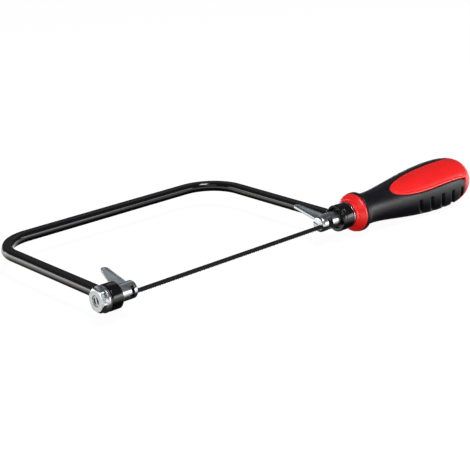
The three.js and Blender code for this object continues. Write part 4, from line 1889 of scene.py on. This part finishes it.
@dataclass
class Studio:
    """Pale floor, soft lights and the camera."""

    azimuth: float = 41.33
    elevation: float = 19.22
    roll: float = -2.26
    distance: float = 789.8
    aim: tuple[float, float, float] = (118.7, 24.5, 0.45)
    lens: float = 94.1
    floor_size: float = 12000.0
    floor_shade: float = 0.13
    floor_glow: float = 0.95
    room: Rgb = (0.10, 0.104, 0.114)
    bounce: tuple[float, float] = (2.5, 0.02)
    sweep_end: float = 0.64
    bright_side: tuple[float, float, float] = (-0.66, 0.75, 0.0)
    side_lean: float = 0.16
    sweep_tint: Rgb = (1.0, 0.985, 0.945)
    sensor: float = 36.0

    def camera(self) -> None:
        """Places the camera."""
        data = bpy.data.cameras.new("camera")
        data.lens = self.lens
        data.sensor_width = self.sensor
        data.clip_start = 0.01
        obj = bpy.data.objects.new("camera", data)
        bpy.context.scene.collection.objects.link(obj)
        aim = (ORIGIN + Vector(self.aim)) * MM
        heading = bearing(self.azimuth, -self.elevation)
        look = heading.to_track_quat("-Z", "Y").to_matrix().to_4x4()
        tilt = Matrix.Rotation(math.radians(self.roll), 4, "Z")
        obj.matrix_world = Matrix.Translation(aim - heading * self.distance * MM) @ look @ tilt
        bpy.context.scene.camera = obj

    def hang(self, box: Softbox) -> None:
        """Hangs a light.

        Args:
            box: The light.
        """
        data = bpy.data.lights.new(box.name, "AREA")
        data.shape = "RECTANGLE"
        data.size, data.size_y = box.size
        data.energy = box.radiance * math.pi * box.size[0] * box.size[1]
        data.color = box.color
        obj = bpy.data.objects.new(box.name, data)
        bpy.context.scene.collection.objects.link(obj)
        away = bearing(self.azimuth + 180 + box.azimuth, box.elevation)
        place = (ORIGIN + Vector(box.target)) * MM + away * box.distance
        facing = (-away).to_track_quat("-Z", "Y").to_matrix().to_4x4()
        obj.matrix_world = Matrix.Translation(place) @ facing

    def floor(self) -> None:
        """Lays the pale floor, which only the camera sees."""
        half = self.floor_size / 2 * MM
        corners = [(-half, -half, 0), (half, -half, 0), (half, half, 0), (-half, half, 0)]
        mesh = bpy.data.meshes.new("floor")
        mesh.from_pydata(corners, [], [(0, 1, 2, 3)])
        obj = object_from("floor", mesh)
        made = bpy.data.materials.new("pale_floor")
        made.use_nodes = True
        tree = made.node_tree
        tree.nodes.clear()
        s = NodeSketch(tree)
        paint = s.add("ShaderNodeBsdfDiffuse", {"Color": rgba((self.floor_shade,) * 3)})
        glow = s.add("ShaderNodeEmission", {"Color": rgba((1.0, 1.0, 1.0)), "Strength": self.floor_glow})
        seen = s.add("ShaderNodeAddShader")
        tree.links.new(paint.outputs[0], seen.inputs[0])
        tree.links.new(glow.outputs[0], seen.inputs[1])
        clear = s.add("ShaderNodeBsdfTransparent")
        switch = s.add("ShaderNodeMixShader", {0: s.add("ShaderNodeLightPath").outputs["Is Camera Ray"]})
        tree.links.new(clear.outputs[0], switch.inputs[1])
        tree.links.new(seen.outputs[0], switch.inputs[2])
        out = s.add("ShaderNodeOutputMaterial")
        tree.links.new(switch.outputs[0], out.inputs["Surface"])
        mesh.materials.append(made)

    def surroundings(self) -> bpy.types.World:
        """Makes the room: dim above, and below the horizon a pale sweep that darkens downwards.

        Returns:
            The world.
        """
        world = bpy.data.worlds.new("studio")
        world.use_nodes = True
        tree = world.node_tree
        tree.nodes.clear()
        s = NodeSketch(tree)
        way = s.add("ShaderNodeTexCoord").outputs["Generated"]
        fall = s.math("MULTIPLY", s.add("ShaderNodeSeparateXYZ", {0: way}).outputs["Z"], -1.0)
        sweep = s.add("ShaderNodeMapRange", {
            "Value": fall, "From Min": 0.0, "From Max": self.sweep_end,
            "To Min": self.bounce[0], "To Max": self.bounce[1],
        }, interpolation_type="SMOOTHSTEP").outputs[0]
        side = s.add("ShaderNodeVectorMath", {
            0: way, 1: self.bright_side,
        }, operation="DOT_PRODUCT").outputs["Value"]
        lean = s.math("MULTIPLY_ADD", side, self.side_lean, 1.0 - self.side_lean / 2)
        below = s.add("ShaderNodeBackground", {
            "Color": rgba(self.sweep_tint), "Strength": s.math("MULTIPLY", sweep, lean),
        })
        above = s.add("ShaderNodeBackground", {"Color": rgba(self.room)})
        both = s.add("ShaderNodeMixShader", {0: s.math("GREATER_THAN", fall, 0.0)})
        tree.links.new(above.outputs[0], both.inputs[1])
        tree.links.new(below.outputs[0], both.inputs[2])
        tree.links.new(both.outputs[0], s.add("ShaderNodeOutputWorld").inputs["Surface"])
        return world

    def build(self) -> None:
        """Sets the whole studio."""
        scene = bpy.context.scene
        scene.view_settings.view_transform = "Standard"
        scene.world = self.surroundings()
        self.camera()
        self.floor()
        for box in SOFTBOXES:
            self.hang(box)


# ---------------------------------------------------------------- the saw


SHOULDER_GAP = 0.3


def main() -> None:
    """Builds the saw in its studio."""
    logging.basicConfig(level=logging.INFO, format="%(name)s: %(message)s")
    Studio().build()
    effects = Effects()
    enamel = BLACK_ENAMEL.material(effects)
    zinc = BRIGHT_ZINC.material(effects)
    oxide_rim_highlight = DARK_OXIDE_RIM_HIGHLIGHT.material(effects)
    FrameUnit().build(enamel)
    fit = BladeFit()
    Blade(fit).build(TOOTH_STEEL.material(effects))
    front_shoulder = span_x("front_barrel")[1] + SHOULDER_GAP
    rear_shoulder = span_x("friction_washer")[0] - SHOULDER_GAP
    Spigot(fit, "front_spigot", "front_blade_pin", "blade_holder", True).build(zinc, front_shoulder)
    Spigot(fit, "rear_spigot", "rear_blade_pin", "rear_holder", False, travel=fit.travel,
           thread_length=12.0).build(zinc, rear_shoulder)
    Lever("front_lever", "blade_holder", 1).build(zinc)
    Lever("rear_lever", "rear_holder", -1).build(zinc)
    NoseHardware().build(zinc, oxide_rim_highlight)
    Handle().build(RED_GLOSS.material(effects), SOFT_GRIP.material(effects),
                   TURNED_BRASS.material(effects), zinc)


if __name__ == "__main__":
    main()
